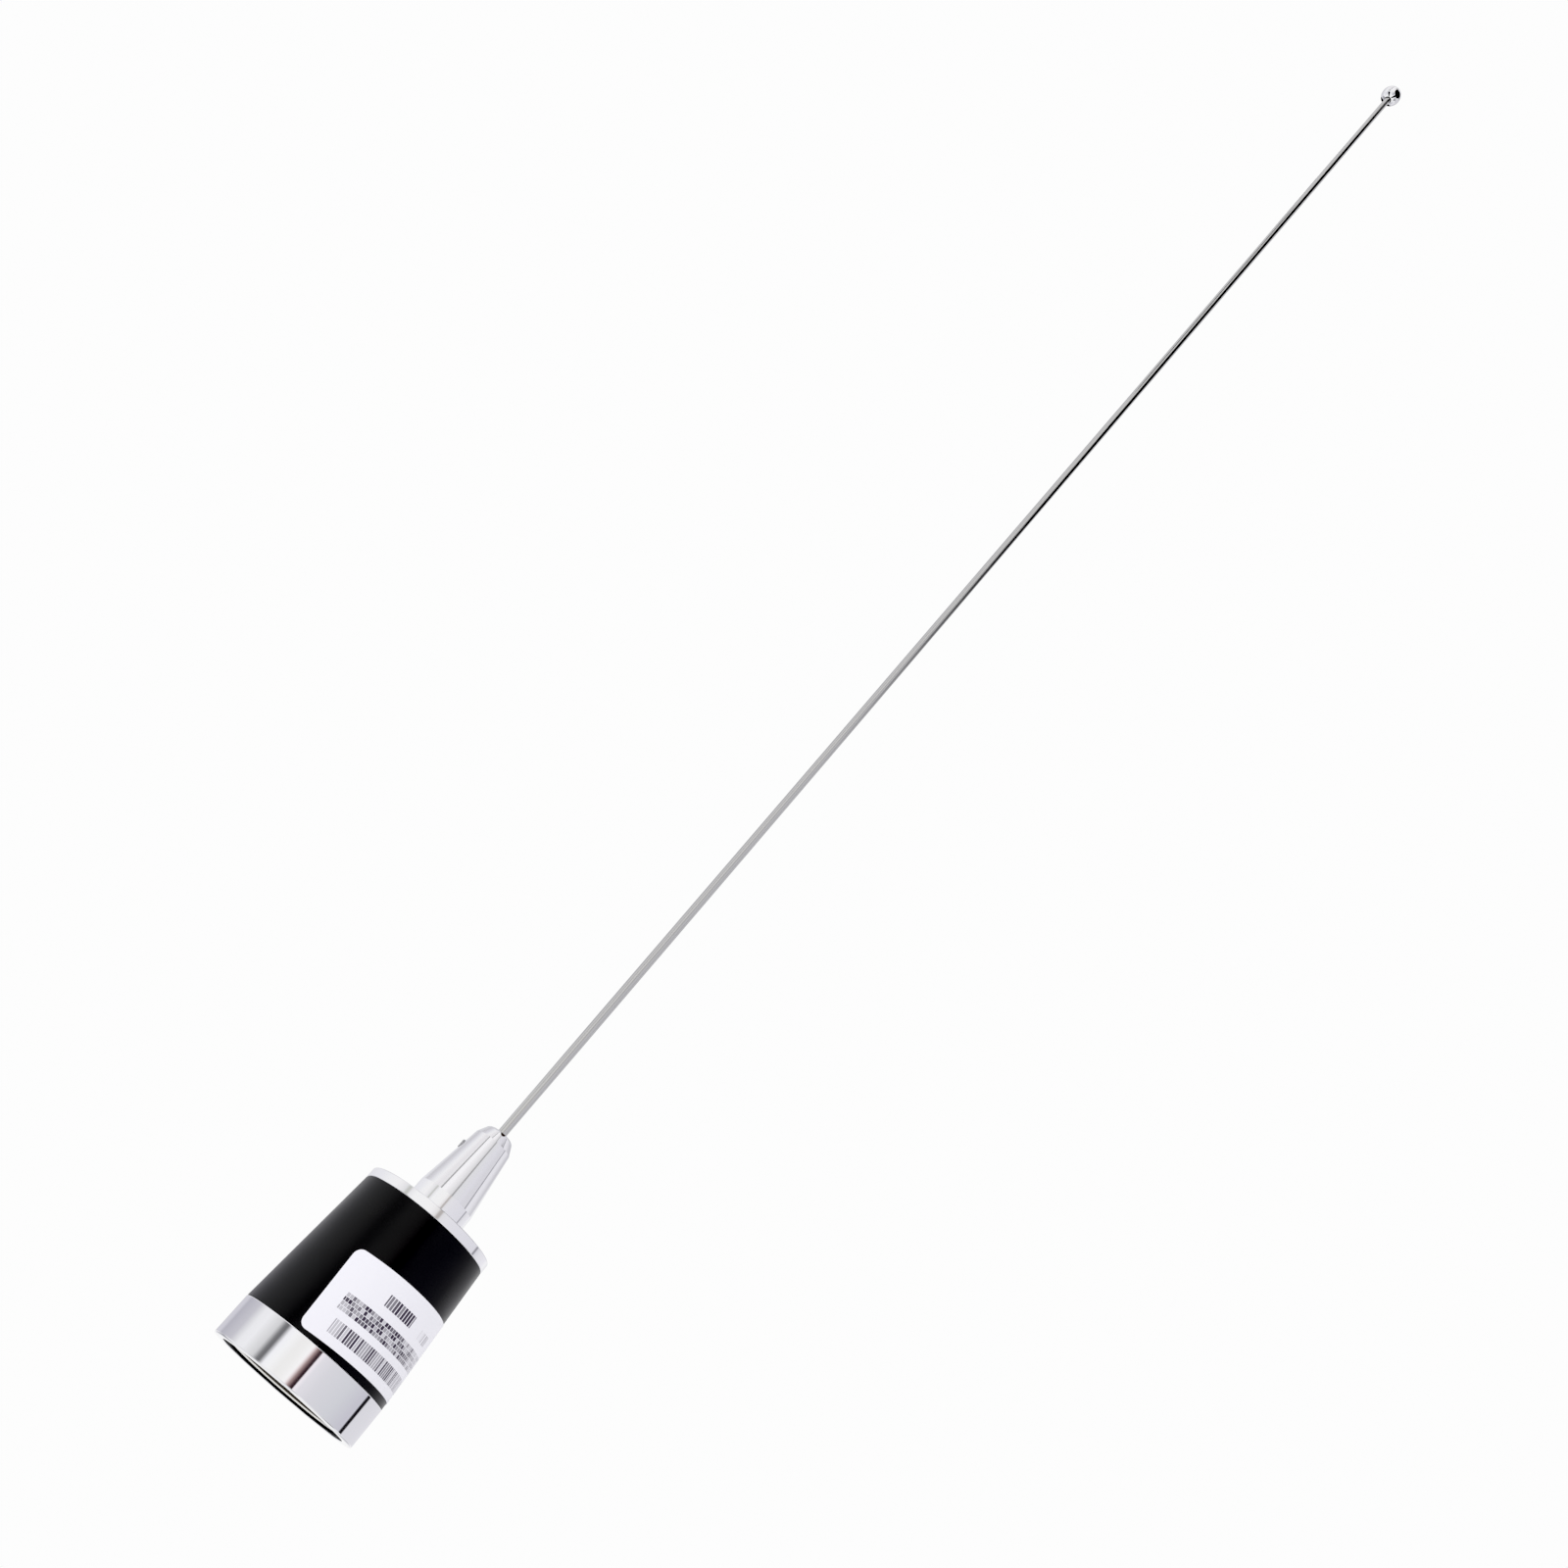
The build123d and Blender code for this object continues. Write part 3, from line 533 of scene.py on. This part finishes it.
def spin_round(section, steps=SPIN_STEPS):
    """Spins an outline once about the Z axis and closes its poles."""
    bmesh.ops.spin(
        section, geom=section.verts[:] + section.edges[:], cent=(0, 0, 0), axis=(0, 0, 1),
        dvec=(0, 0, 0), angle=2 * pi, steps=steps, use_merge=True, use_duplicate=False,
    )
    bmesh.ops.remove_doubles(section, verts=section.verts[:], dist=1e-7)


def finish_piece(shape, name, material, node, body="base", flat_above=SMOOTH_UNDER):
    """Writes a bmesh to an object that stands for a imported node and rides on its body, if it is rigid."""
    bmesh.ops.recalc_face_normals(shape, faces=shape.faces[:])
    mesh = bpy.data.meshes.new(name)
    shape.to_mesh(mesh)
    shape.free()
    mesh.shade_smooth()
    mesh.set_sharp_from_angle(angle=flat_above)
    mesh.materials.append(material)
    piece = bpy.data.objects.new(name, mesh)
    bpy.context.scene.collection.objects.link(piece)
    even = piece.modifiers.new("large_faces_decide", "WEIGHTED_NORMAL")
    even.keep_sharp = True
    if body:
        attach(piece, body)
    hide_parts(node)
    print(name, len(mesh.polygons), "faces")
    return piece


def turned(
    name, corners, rounds, material, node,
    body="base", steps=SPIN_STEPS, segments=5, flat_above=SMOOTH_UNDER,
):
    """A lathe-turned piece in one go."""
    section = outline(corners, rounds, segments)
    spin_round(section, steps)
    return finish_piece(section, name, material, node, body, flat_above)


# %% [markdown]
# The collar is a cup with no bottom: a skirt, a web that holds the insert, and a spigot that the sleeve
# slips over. Its rim touches the roof, so it is rounded there to spare the paint.

# %% Base collar
RIM_WALL = 2.5
SPIGOT_R = 18.05
SPIGOT_BORE_R = 15.85
WEB_BORE_R = 15.15
WEB_Z0, WEB_Z1 = 7.6, 10.0
SEAL_GROOVE_H = 1.15
SEAL_GROOVE_DEPTH = 0.95
lip_r = collar_r - RIM_WALL
groove_z = (sleeve_z0 + spigot_z1) / 2
groove_r = SPIGOT_R - SEAL_GROOVE_DEPTH

turned(
    "collar_turned",
    [
        (lip_r, 0), (collar_r, 0), (collar_r, sleeve_z0), (SPIGOT_R, sleeve_z0),
        (SPIGOT_R, groove_z - SEAL_GROOVE_H / 2), (groove_r, groove_z - SEAL_GROOVE_H / 2),
        (groove_r, groove_z + SEAL_GROOVE_H / 2), (SPIGOT_R, groove_z + SEAL_GROOVE_H / 2),
        (SPIGOT_R, spigot_z1), (SPIGOT_BORE_R, spigot_z1), (SPIGOT_BORE_R, WEB_Z1),
        (WEB_BORE_R, WEB_Z1), (WEB_BORE_R, WEB_Z0), (lip_r, WEB_Z0),
    ],
    {0: 0.15, 1: 0.45, 2: 0.25, 8: 0.3},
    chrome_plate, "base_collar",
)

# %% [markdown]
# The insert carries the one real standard on this object, a 1 1/8 inch thread with 18 turns to the inch.
# A thread is a small tooth outline carried round and up at once. The spin operator does exactly that
# when it is given a rise for each step: one tooth outline, one pitch tall, spun for as many turns as the
# wall is high, and then cut square at both ends. Bridging joins its wavy ends to the lead-in below and
# to the relief above. The thread is given a dark brass colour as painted shade, standing in for the shade
# deep inside the bore, and the nickel lead-in below it shines as a bright ring.

# %% Threaded insert
PITCH = 25.4 / 18
THREAD_MINOR_R = 13.56
THREAD_ROOT_R = 14.2
THREAD_Z0, THREAD_Z1 = 1.35, 9.35
RELIEF_R = 14.26
LEAD_IN_R = 14.85
LEAD_IN_Z1 = 0.98
FLOOR_Z0 = 10.4
FLOOR_BORE_R = 9.0
INSERT_R = 15.1
INSERT_EDGE = 0.3
THREAD_STEPS = 96

insert = bmesh.new()
extra = 1.5 * PITCH
tooth = [
    (THREAD_MINOR_R, 0), (THREAD_MINOR_R, PITCH / 4), (THREAD_ROOT_R, PITCH * 9 / 16),
    (THREAD_ROOT_R, PITCH * 11 / 16), (THREAD_MINOR_R, PITCH),
]
tooth_points = [insert.verts.new((r * MM, 0, (THREAD_Z0 - extra + z) * MM)) for r, z in tooth]
tooth_edges = [insert.edges.new(pair) for pair in zip(tooth_points, tooth_points[1:])]
turns = int((THREAD_Z1 - THREAD_Z0) / PITCH + 3)
bmesh.ops.spin(
    insert, geom=tooth_points + tooth_edges, cent=(0, 0, 0), axis=(0, 0, 1),
    dvec=(0, 0, PITCH * MM / THREAD_STEPS), angle=2 * pi * turns, steps=THREAD_STEPS * turns,
    use_merge=False, use_duplicate=False,
)
bmesh.ops.remove_doubles(insert, verts=insert.verts[:], dist=1e-6)
for level, side_kept in ((THREAD_Z0, 1), (THREAD_Z1, -1)):
    bmesh.ops.bisect_plane(
        insert, geom=insert.verts[:] + insert.edges[:] + insert.faces[:], dist=1e-7,
        plane_co=(0, 0, level * MM), plane_no=(0, 0, -side_kept), clear_outer=True, clear_inner=False,
    )


def rim_at(shape, level):
    """The open edges of a bmesh that lie at one level."""
    return [
        e for e in shape.edges
        if e.is_boundary and all(abs(v.co.z / MM - level) < 1e-3 for v in e.verts)
    ]


thread_low = rim_at(insert, THREAD_Z0)
thread_high = rim_at(insert, THREAD_Z1)
body_points = [
    (RELIEF_R, THREAD_Z1), (RELIEF_R, FLOOR_Z0), (FLOOR_BORE_R, FLOOR_Z0), (FLOOR_BORE_R, insert_z1),
    (flange_r, insert_z1), (flange_r, WEB_Z1), (INSERT_R, WEB_Z1), (INSERT_R, insert_z0 + INSERT_EDGE / 2),
    (INSERT_R - INSERT_EDGE / 2, insert_z0), (LEAD_IN_R, insert_z0), (RELIEF_R, LEAD_IN_Z1),
]
body_verts = [insert.verts.new((r * MM, 0, z * MM)) for r, z in body_points]
body_edges = [insert.edges.new(pair) for pair in zip(body_verts, body_verts[1:])]
bmesh.ops.spin(
    insert, geom=body_verts + body_edges, cent=(0, 0, 0), axis=(0, 0, 1), dvec=(0, 0, 0),
    angle=2 * pi, steps=THREAD_STEPS, use_merge=True, use_duplicate=False,
)
body_top = [e for e in rim_at(insert, THREAD_Z1) if e not in thread_high]
body_low = rim_at(insert, LEAD_IN_Z1)
bmesh.ops.bridge_loops(insert, edges=thread_high + body_top)
bmesh.ops.bridge_loops(insert, edges=thread_low + body_low)
open_edges = len([e for e in insert.edges if e.is_boundary])
print("insert: turns of thread", round((THREAD_Z1 - THREAD_Z0) / PITCH, 2), "open edges", open_edges)
# The thread's and relief's faces take the second material, the dark painted shade for the shade deep in the
# bore.
for face in insert.faces:
    middle = face.calc_center_median() / MM
    if LEAD_IN_Z1 < middle.z < FLOOR_Z0 and hypot(middle.x, middle.y) < RELIEF_R + 0.01:
        face.material_index = 1
insert_piece = finish_piece(
    insert, "insert_threaded", nickel_plate, "threaded_insert", flat_above=radians(25)
)
insert_piece.data.materials.append(painted_shade_brass)

# %% [markdown]
# The sleeve is a plain cone outside and a plain bore inside. Moulded edges are never razor sharp, and
# the small rounding at each end catches a fine line of light.

# %% Sleeve
SOCKET_R = 18.1
SLEEVE_TOP_R = 17.7
SLEEVE_BORE_R = 16.2
SOCKET_GAP = 0.25

turned(
    "sleeve_moulded",
    [
        (SOCKET_R, sleeve_z0), (sleeve_r, sleeve_z0), (SLEEVE_TOP_R, sleeve_z1), (SLEEVE_BORE_R, sleeve_z1),
        (SLEEVE_BORE_R, spigot_z1 + SOCKET_GAP), (SOCKET_R, spigot_z1 + SOCKET_GAP),
    ],
    {1: 0.2, 2: 0.2},
    sleeve_plastic, "coil_housing",
)

# %% [markdown]
# The disc on top is turned like the collar, with edges that are only just broken. Below it a spigot plugs
# the sleeve and a boss clamps the coil form.

# %% Top cap
CAP_EDGE = 0.2
CAP_SPIGOT_R = 16.15
CAP_RIM_WALL = 2.2
CAP_RECESS_H = 3.4
FORM_TOP_R = 8.92
SHANK_HOLE_R = 2.55
cap_groove_z = (cap_foot_z + sleeve_z1) / 2
cap_groove_r = CAP_SPIGOT_R - SEAL_GROOVE_DEPTH

turned(
    "cap_turned",
    [
        (SHANK_HOLE_R, cap_foot_z), (FORM_TOP_R, cap_foot_z), (FORM_TOP_R, cap_foot_z + CAP_RECESS_H),
        (CAP_SPIGOT_R - CAP_RIM_WALL, cap_foot_z + CAP_RECESS_H), (CAP_SPIGOT_R - CAP_RIM_WALL, cap_foot_z),
        (CAP_SPIGOT_R, cap_foot_z), (CAP_SPIGOT_R, cap_groove_z - SEAL_GROOVE_H / 2),
        (cap_groove_r, cap_groove_z - SEAL_GROOVE_H / 2), (cap_groove_r, cap_groove_z + SEAL_GROOVE_H / 2),
        (CAP_SPIGOT_R, cap_groove_z + SEAL_GROOVE_H / 2), (CAP_SPIGOT_R, sleeve_z1), (cap_r, sleeve_z1),
        (cap_r, cap_z1), (SHANK_HOLE_R, cap_z1),
    ],
    {11: CAP_EDGE, 12: CAP_EDGE},
    chrome_plate, "top_cap",
)

# %% [markdown]
# The ferrule is one turned piece: a short collar, a long cone and a rounded nose. Two small cuts are
# drilled after turning, one for the set screw and one notch in the lip where the rod comes out, so they
# are cut here too, with a boolean on the finished turning. The notch's walls are coloured dark as painted
# shade, for the dark gap where the rod leaves the nose.

# %% Ferrule
CONE_Z0 = 54.0
CONE_Z1 = 70.9
CONE_TOP_R = 5.15
NOSE_CORNER_R = 3.55
NOSE_ROUND = 0.8
BORE_R = 1.3
BORE_Z0 = 55.55
STUD_SOCKET_R = 4.02
STUD_SOCKET_Z1 = 54.75
SCREW_Z = 66.2
SCREW_HOLE_R = 1.3
NOTCH_R = 0.65
NOTCH_X = 0.3
NOTCH_DROP = 0.3
NOTCH_END_Y = 2.6
CONE_CREASE = radians(5.5)

ferrule_corners = [
    (STUD_SOCKET_R, cap_z1), (ferrule_r, cap_z1), (ferrule_r, CONE_Z0), (CONE_TOP_R, CONE_Z1),
    (NOSE_CORNER_R, nose_z1), (BORE_R, nose_z1), (BORE_R, BORE_Z0), (0, BORE_Z0),
    (0, STUD_SOCKET_Z1), (STUD_SOCKET_R, STUD_SOCKET_Z1),
]
ferrule = turned(
    "ferrule_turned", ferrule_corners, {1: 0.15, 4: NOSE_ROUND, 5: 0.1},
    chrome_satin, "whip_ferrule", segments=14, flat_above=CONE_CREASE,
)


def drill(piece, radius, start, end, steps=32, cut_shade=None, flat_above=SMOOTH_UNDER):
    """Cuts a hole between two points, in mm, out of a finished piece. Its walls may carry a painted shade.
    """
    axis = (Vector(end) - Vector(start)) * MM
    cutter = bmesh.new()
    bmesh.ops.create_cone(
        cutter, cap_ends=True, segments=steps, radius1=radius * MM, radius2=radius * MM, depth=axis.length,
    )
    turn_to = axis.to_track_quat("Z", "Y").to_matrix().to_4x4()
    middle = Matrix.Translation((Vector(start) + Vector(end)) / 2 * MM)
    bmesh.ops.transform(cutter, matrix=middle @ turn_to, verts=cutter.verts[:])
    bmesh.ops.recalc_face_normals(cutter, faces=cutter.faces[:])
    if cut_shade:
        piece.data.materials.append(cut_shade)
        for face in cutter.faces:
            face.material_index = len(piece.data.materials) - 1
    tool_mesh = bpy.data.meshes.new("drill")
    cutter.to_mesh(tool_mesh)
    cutter.free()
    tool = bpy.data.objects.new("drill", tool_mesh)
    bpy.context.scene.collection.objects.link(tool)
    piece.modifiers.clear()
    cut = piece.modifiers.new("drill", "BOOLEAN")
    cut.object = tool
    cut.operation = "DIFFERENCE"
    cut.solver = "EXACT"
    ready = piece.evaluated_get(bpy.context.evaluated_depsgraph_get())
    drilled = bpy.data.meshes.new_from_object(ready)
    piece.modifiers.clear()
    even = piece.modifiers.new("large_faces_decide", "WEIGHTED_NORMAL")
    even.keep_sharp = True
    old = piece.data
    piece.data = drilled
    drilled.name = old.name
    bpy.data.meshes.remove(old)
    bpy.data.objects.remove(tool)
    drilled.shade_smooth()
    drilled.set_sharp_from_angle(angle=flat_above)
    print(piece.name, "drilled, faces:", len(drilled.polygons))


drill(
    ferrule, SCREW_HOLE_R, (-ferrule_r - 1, 0, SCREW_Z), (-BORE_R / 2, 0, SCREW_Z),
    flat_above=CONE_CREASE,
)
notch_z = nose_z1 - NOTCH_DROP
# The notch's walls get the dark painted shade.
drill(
    ferrule, NOTCH_R, (NOTCH_X, -ferrule_r, notch_z), (NOTCH_X, -NOTCH_END_Y, notch_z),
    cut_shade=painted_shade_brass, flat_above=CONE_CREASE,
)

# %% [markdown]
# The set screw is a short socket screw. It is turned about the Z axis like everything else, tipped over to
# its place, and its hexagon socket is broached, here with the same drill that has only six sides. The
# socket's walls are coloured dark as painted shade.

# %% Set screw
SCREW_R = 1.25
SCREW_EDGE = 0.25
SOCKET_HEX_R = 0.72
SOCKET_DEPTH = 1.2
screw_out, screw_in = span("set_screw", 0)
screw = outline(
    [(0, 0), (SCREW_R, 0), (SCREW_R, screw_in - screw_out), (0, screw_in - screw_out)],
    {1: SCREW_EDGE, 2: SCREW_EDGE}, segments=1,
)
spin_round(screw, 48)
tipped = Matrix.Translation(Vector((screw_out, 0, SCREW_Z)) * MM) @ Matrix.Rotation(pi / 2, 4, "Y")
bmesh.ops.transform(screw, matrix=tipped, verts=screw.verts[:])
screw_piece = finish_piece(screw, "screw_socket_set", zinc_steel, "set_screw")
# The hex socket's walls get the dark painted shade.
drill(
    screw_piece, SOCKET_HEX_R, (screw_out - 1, 0, SCREW_Z), (screw_out + SOCKET_DEPTH, 0, SCREW_Z),
    steps=6, cut_shade=painted_shade_brass,
)

# %% [markdown]
# A sticker is cut flat, with straight edges, and a tapered sleeve is a cone. Wrapped round a cone, a true
# rectangle keeps its straight edges on the unrolled surface only: its ends sit a little lower than its
# middle, and its side edges lean against the sleeve's own lines. So the film is made flat, its corners are
# rounded, it is sliced so that it can bend, and only then is each point carried to the cone, by its
# distance and angle from the apex where the cone's sides would meet.

# %% Sticker
FILM_T = 0.12
FILM_GLUE = 0.02
FILM_ROUND = 2.0
FILM_SLICES = 72
FILM_LEFT = radians(-23)
FILM_WRAP = radians(150)
FILM_LIFT = 0.4
film_z0, film_z1 = span("label")
taper = (sleeve_r - SLEEVE_TOP_R) / (sleeve_z1 - sleeve_z0)
half_angle = atan(taper)
film_mid_z = (film_z0 + film_z1) / 2 + FILM_LIFT
film_mid_r = sleeve_r - (film_mid_z - sleeve_z0) * taper
apex_away = film_mid_r / sin(half_angle)
apex_z = film_mid_z + apex_away * cos(half_angle)

sticker = bmesh.new()
bmesh.ops.create_grid(sticker, x_segments=1, y_segments=1, size=0.5)
bmesh.ops.scale(sticker, vec=(FILM_WIDTH, FILM_HEIGHT, 1), verts=sticker.verts[:])
bmesh.ops.bevel(
    sticker, geom=sticker.verts[:], offset=FILM_ROUND, offset_type="OFFSET", segments=10,
    profile=0.5, affect="VERTICES", material=-1,
)
for number in range(1, FILM_SLICES):
    bmesh.ops.bisect_plane(
        sticker, geom=sticker.verts[:] + sticker.edges[:] + sticker.faces[:], dist=1e-5,
        plane_co=(FILM_WIDTH * (number / FILM_SLICES - 0.5), 0, 0), plane_no=(1, 0, 0),
    )
flat_map = sticker.loops.layers.uv.new("flat_film")
bmesh.ops.solidify(sticker, geom=sticker.faces[:], thickness=-FILM_T)
for face in sticker.faces:
    for loop in face.loops:
        x, y, _ = loop.vert.co
        loop[flat_map].uv = (x / FILM_WIDTH + 0.5, y / FILM_HEIGHT + 0.5)
lowest = min(v.co.z for v in sticker.verts)
for point in sticker.verts:
    x, y, lift = point.co
    lift = lift - lowest + FILM_GLUE
    away = hypot(x, apex_away - y)
    round_by = FILM_LEFT + FILM_WRAP / 2 + atan2(x, apex_away - y) / sin(half_angle)
    radius = away * sin(half_angle) + lift * cos(half_angle)
    height = apex_z - away * cos(half_angle) + lift * sin(half_angle)
    point.co = Vector((radius * sin(round_by), -radius * cos(round_by), height)) * MM
levels = [v.co.z / MM for v in sticker.verts]
open_edges = sum(e.is_boundary for e in sticker.edges)
print("sticker from", round(min(levels), 2), "to", round(max(levels), 2), "mm, open edges", open_edges)
finish_piece(sticker, "sticker_film", film, "label", flat_above=radians(50))

# %% [markdown]
# The rod is ground between wheels, which leaves faint rings and a soft grey shine. The ball is chromed
# and drilled for the rod, and its bore and mouth are coloured dark as painted shade.

# %% Whip and ball
ROD_STEPS = 64
BALL_R = 4.0
BALL_HOLE_R = 1.3
BALL_MOUTH_R = 1.48
BALL_HOLE_Z1 = whip_z1 + 0.05
ball_z = ball_top - BALL_R

turned(
    "rod_ground",
    [(0, whip_z0), (whip_r, whip_z0), (whip_r, whip_z1), (0, whip_z1)],
    {1: 0.25, 2: 0.1}, ground_steel, "whip", body="rod", steps=ROD_STEPS,
)

ball = bmesh.new()
bmesh.ops.create_uvsphere(ball, u_segments=96, v_segments=64, radius=BALL_R * MM)
hole_level = -((BALL_R**2 - BALL_MOUTH_R**2) ** 0.5)
bmesh.ops.bisect_plane(
    ball, geom=ball.verts[:] + ball.edges[:] + ball.faces[:], dist=1e-7,
    plane_co=(0, 0, hole_level * MM), plane_no=(0, 0, -1), clear_outer=True, clear_inner=False,
)
mouth = [e for e in ball.edges if e.is_boundary]
sunk = bmesh.ops.extrude_edge_only(ball, edges=mouth)["geom"]
sunk_verts = [v for v in sunk if isinstance(v, bmesh.types.BMVert)]
narrowing = BALL_HOLE_R / BALL_MOUTH_R
bmesh.ops.scale(ball, vec=(narrowing, narrowing, 1), verts=sunk_verts)
bmesh.ops.translate(ball, vec=(0, 0, (BALL_MOUTH_R - BALL_HOLE_R) * MM), verts=sunk_verts)
wall = bmesh.ops.extrude_edge_only(ball, edges=[e for e in ball.edges if e.is_boundary])["geom"]
wall_verts = [v for v in wall if isinstance(v, bmesh.types.BMVert)]
for point in wall_verts:
    point.co.z = (BALL_HOLE_Z1 - ball_z) * MM
bmesh.ops.holes_fill(ball, edges=[e for e in ball.edges if e.is_boundary], sides=0)
# Faces of the bore and its mouth take the second material, the dark painted shade.
for face in ball.faces:
    middle = face.calc_center_median() / MM
    if hypot(middle.x, middle.y) < BALL_MOUTH_R and hole_level < middle.z < BALL_R / 2:
        face.material_index = 1
bmesh.ops.translate(ball, vec=(0, 0, ball_z * MM), verts=ball.verts[:])
ball_piece = finish_piece(ball, "ball_chromed", chrome_plate, "tip_ball", body="rod")
ball_piece.data.materials.append(painted_shade_brass)

# %% [markdown]
# A mirror ball shows the whole studio at once. Small black flags on thin stands are set up round it, and
# they put the dark patches and lines on the ball that make it read as round. Only reflections see them.

# %% Flags for the ball
FLAG_AWAY = 60
STAND_H = 150
# Bearing and height in degrees as the ball sees them, radius of the disc and width of the stand in mm.
BALL_FLAGS = [(38, 20, 46, 22), (182, 8, 40, 0), (-50, -22, 4, 20)]

felt, _, felt_shader = new_tree("felt_black")
felt_shader.inputs["Base Color"].default_value = linear("0a0a0a")
felt_shader.inputs["Roughness"].default_value = 1.0
felt_shader.inputs["Specular IOR Level"].default_value = 0.0
for number, (flag_bearing, flag_height, flag_r, stand_width) in enumerate(BALL_FLAGS):
    level = cos(radians(flag_height))
    away = Vector((
        sin(radians(flag_bearing)) * level, -cos(radians(flag_bearing)) * level, sin(radians(flag_height)),
    ))
    flag_mesh = bpy.data.meshes.new("ball_flag_%d" % number)
    flag_shape = bmesh.new()
    bmesh.ops.create_circle(flag_shape, cap_ends=True, segments=48, radius=flag_r * MM)
    facing = away.to_track_quat("Z", "Y").to_matrix().to_4x4()
    bmesh.ops.transform(flag_shape, matrix=facing, verts=flag_shape.verts[:])
    if stand_width:
        stand = bmesh.ops.create_grid(flag_shape, x_segments=1, y_segments=1, size=0.5)["verts"]
        bmesh.ops.scale(flag_shape, vec=(stand_width * MM, STAND_H * MM, 1), verts=stand)
        upright = Matrix.Rotation(radians(flag_bearing), 4, "Z") @ Matrix.Rotation(pi / 2, 4, "X")
        bmesh.ops.transform(flag_shape, matrix=upright, verts=stand)
        bmesh.ops.translate(flag_shape, vec=(0, 0, -STAND_H / 2 * MM), verts=stand)
    hung = Vector((0, 0, ball_z)) + away * FLAG_AWAY
    bmesh.ops.translate(flag_shape, vec=hung * MM, verts=flag_shape.verts[:])
    flag_shape.to_mesh(flag_mesh)
    flag_shape.free()
    flag_mesh.materials.append(felt)
    ball_flag = bpy.data.objects.new("ball_flag_%d" % number, flag_mesh)
    bpy.context.scene.collection.objects.link(ball_flag)
    for sort in ("camera", "diffuse", "transmission", "volume_scatter", "shadow"):
        setattr(ball_flag, "visible_" + sort, False)
print("flags round the ball:", len(BALL_FLAGS))

# %% [markdown]
# The contact's spring is wound from round wire, with nearly flat turns at both ends so that it stands
# square. A ring of wire spun with a rise for each step gives the coils, in three spins: flat, open, flat.
# The spring is the one piece that changes its shape in use, so it rides on no rigid body.

# %% Spring of the contact
WIRE_R = 0.2
WIRE_SIDES = 10
COIL_STEPS = 32
FLAT_TURNS = 0.75
OPEN_TURNS = 3.5
FLAT_RISE = 0.3
spring_low, spring_high = span("plunger_spring")
coil_r = span("plunger_spring", 0)[1] - WIRE_R
open_rise = spring_high - spring_low - 2 * WIRE_R - 2 * FLAT_RISE

spring = bmesh.new()
wire_ring = bmesh.ops.create_circle(spring, cap_ends=True, segments=WIRE_SIDES, radius=WIRE_R * MM)["verts"]
wire_foot = Vector((coil_r, 0, spring_low + WIRE_R)) * MM
wire_start = Matrix.Translation(wire_foot) @ Matrix.Rotation(pi / 2, 4, "X")
bmesh.ops.transform(spring, matrix=wire_start, verts=wire_ring)
wire_end = spring.verts[:] + spring.edges[:]
for turns, rise in ((FLAT_TURNS, FLAT_RISE), (OPEN_TURNS, open_rise), (FLAT_TURNS, FLAT_RISE)):
    steps = round(turns * COIL_STEPS)
    wire_end = bmesh.ops.spin(
        spring, geom=wire_end, cent=(0, 0, 0), axis=(0, 0, 1), dvec=(0, 0, rise / steps * MM),
        angle=2 * pi * turns, steps=steps, use_merge=False, use_duplicate=False,
    )["geom_last"]
bmesh.ops.holes_fill(spring, edges=[e for e in spring.edges if e.is_boundary], sides=0)
print("spring, open edges:", sum(e.is_boundary for e in spring.edges))
spring_piece = finish_piece(spring, "spring_wound", spring_steel, "plunger_spring", body=None)
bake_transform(spring_piece)

# %% [markdown]
# The solids that stay as packed only need their finish: most of them are small brass, steel and plastic
# pieces inside the base.

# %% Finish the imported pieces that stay
FINISHES = {
    "base_gasket": seal_rubber, "base_seal": seal_rubber, "cap_seal": seal_rubber,
    "contact_plate": acetal, "plate_screws": zinc_steel, "ground_tag": tin_sheet,
    "contact_barrel": brass_bar, "barrel_plug": brass_bar, "barrel_nut": brass_bar, "feed_tag": tin_sheet,
    "contact_plunger": gold_flash, "coil_form": natural_nylon,
    "coil_winding": enamel_wire, "tap_lead": enamel_wire, "whip_stud": brass_bar,
    "stud_nut": brass_bar, "stud_tag": tin_sheet,
}
for name, material in FINISHES.items():
    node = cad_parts[name]
    node.data.materials.clear()
    node.data.materials.append(material)
left_plain = [n for n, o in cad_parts.items() if not o.hide_render and n not in FINISHES]
print("finished", len(FINISHES), "packed pieces, left plain:", left_plain)
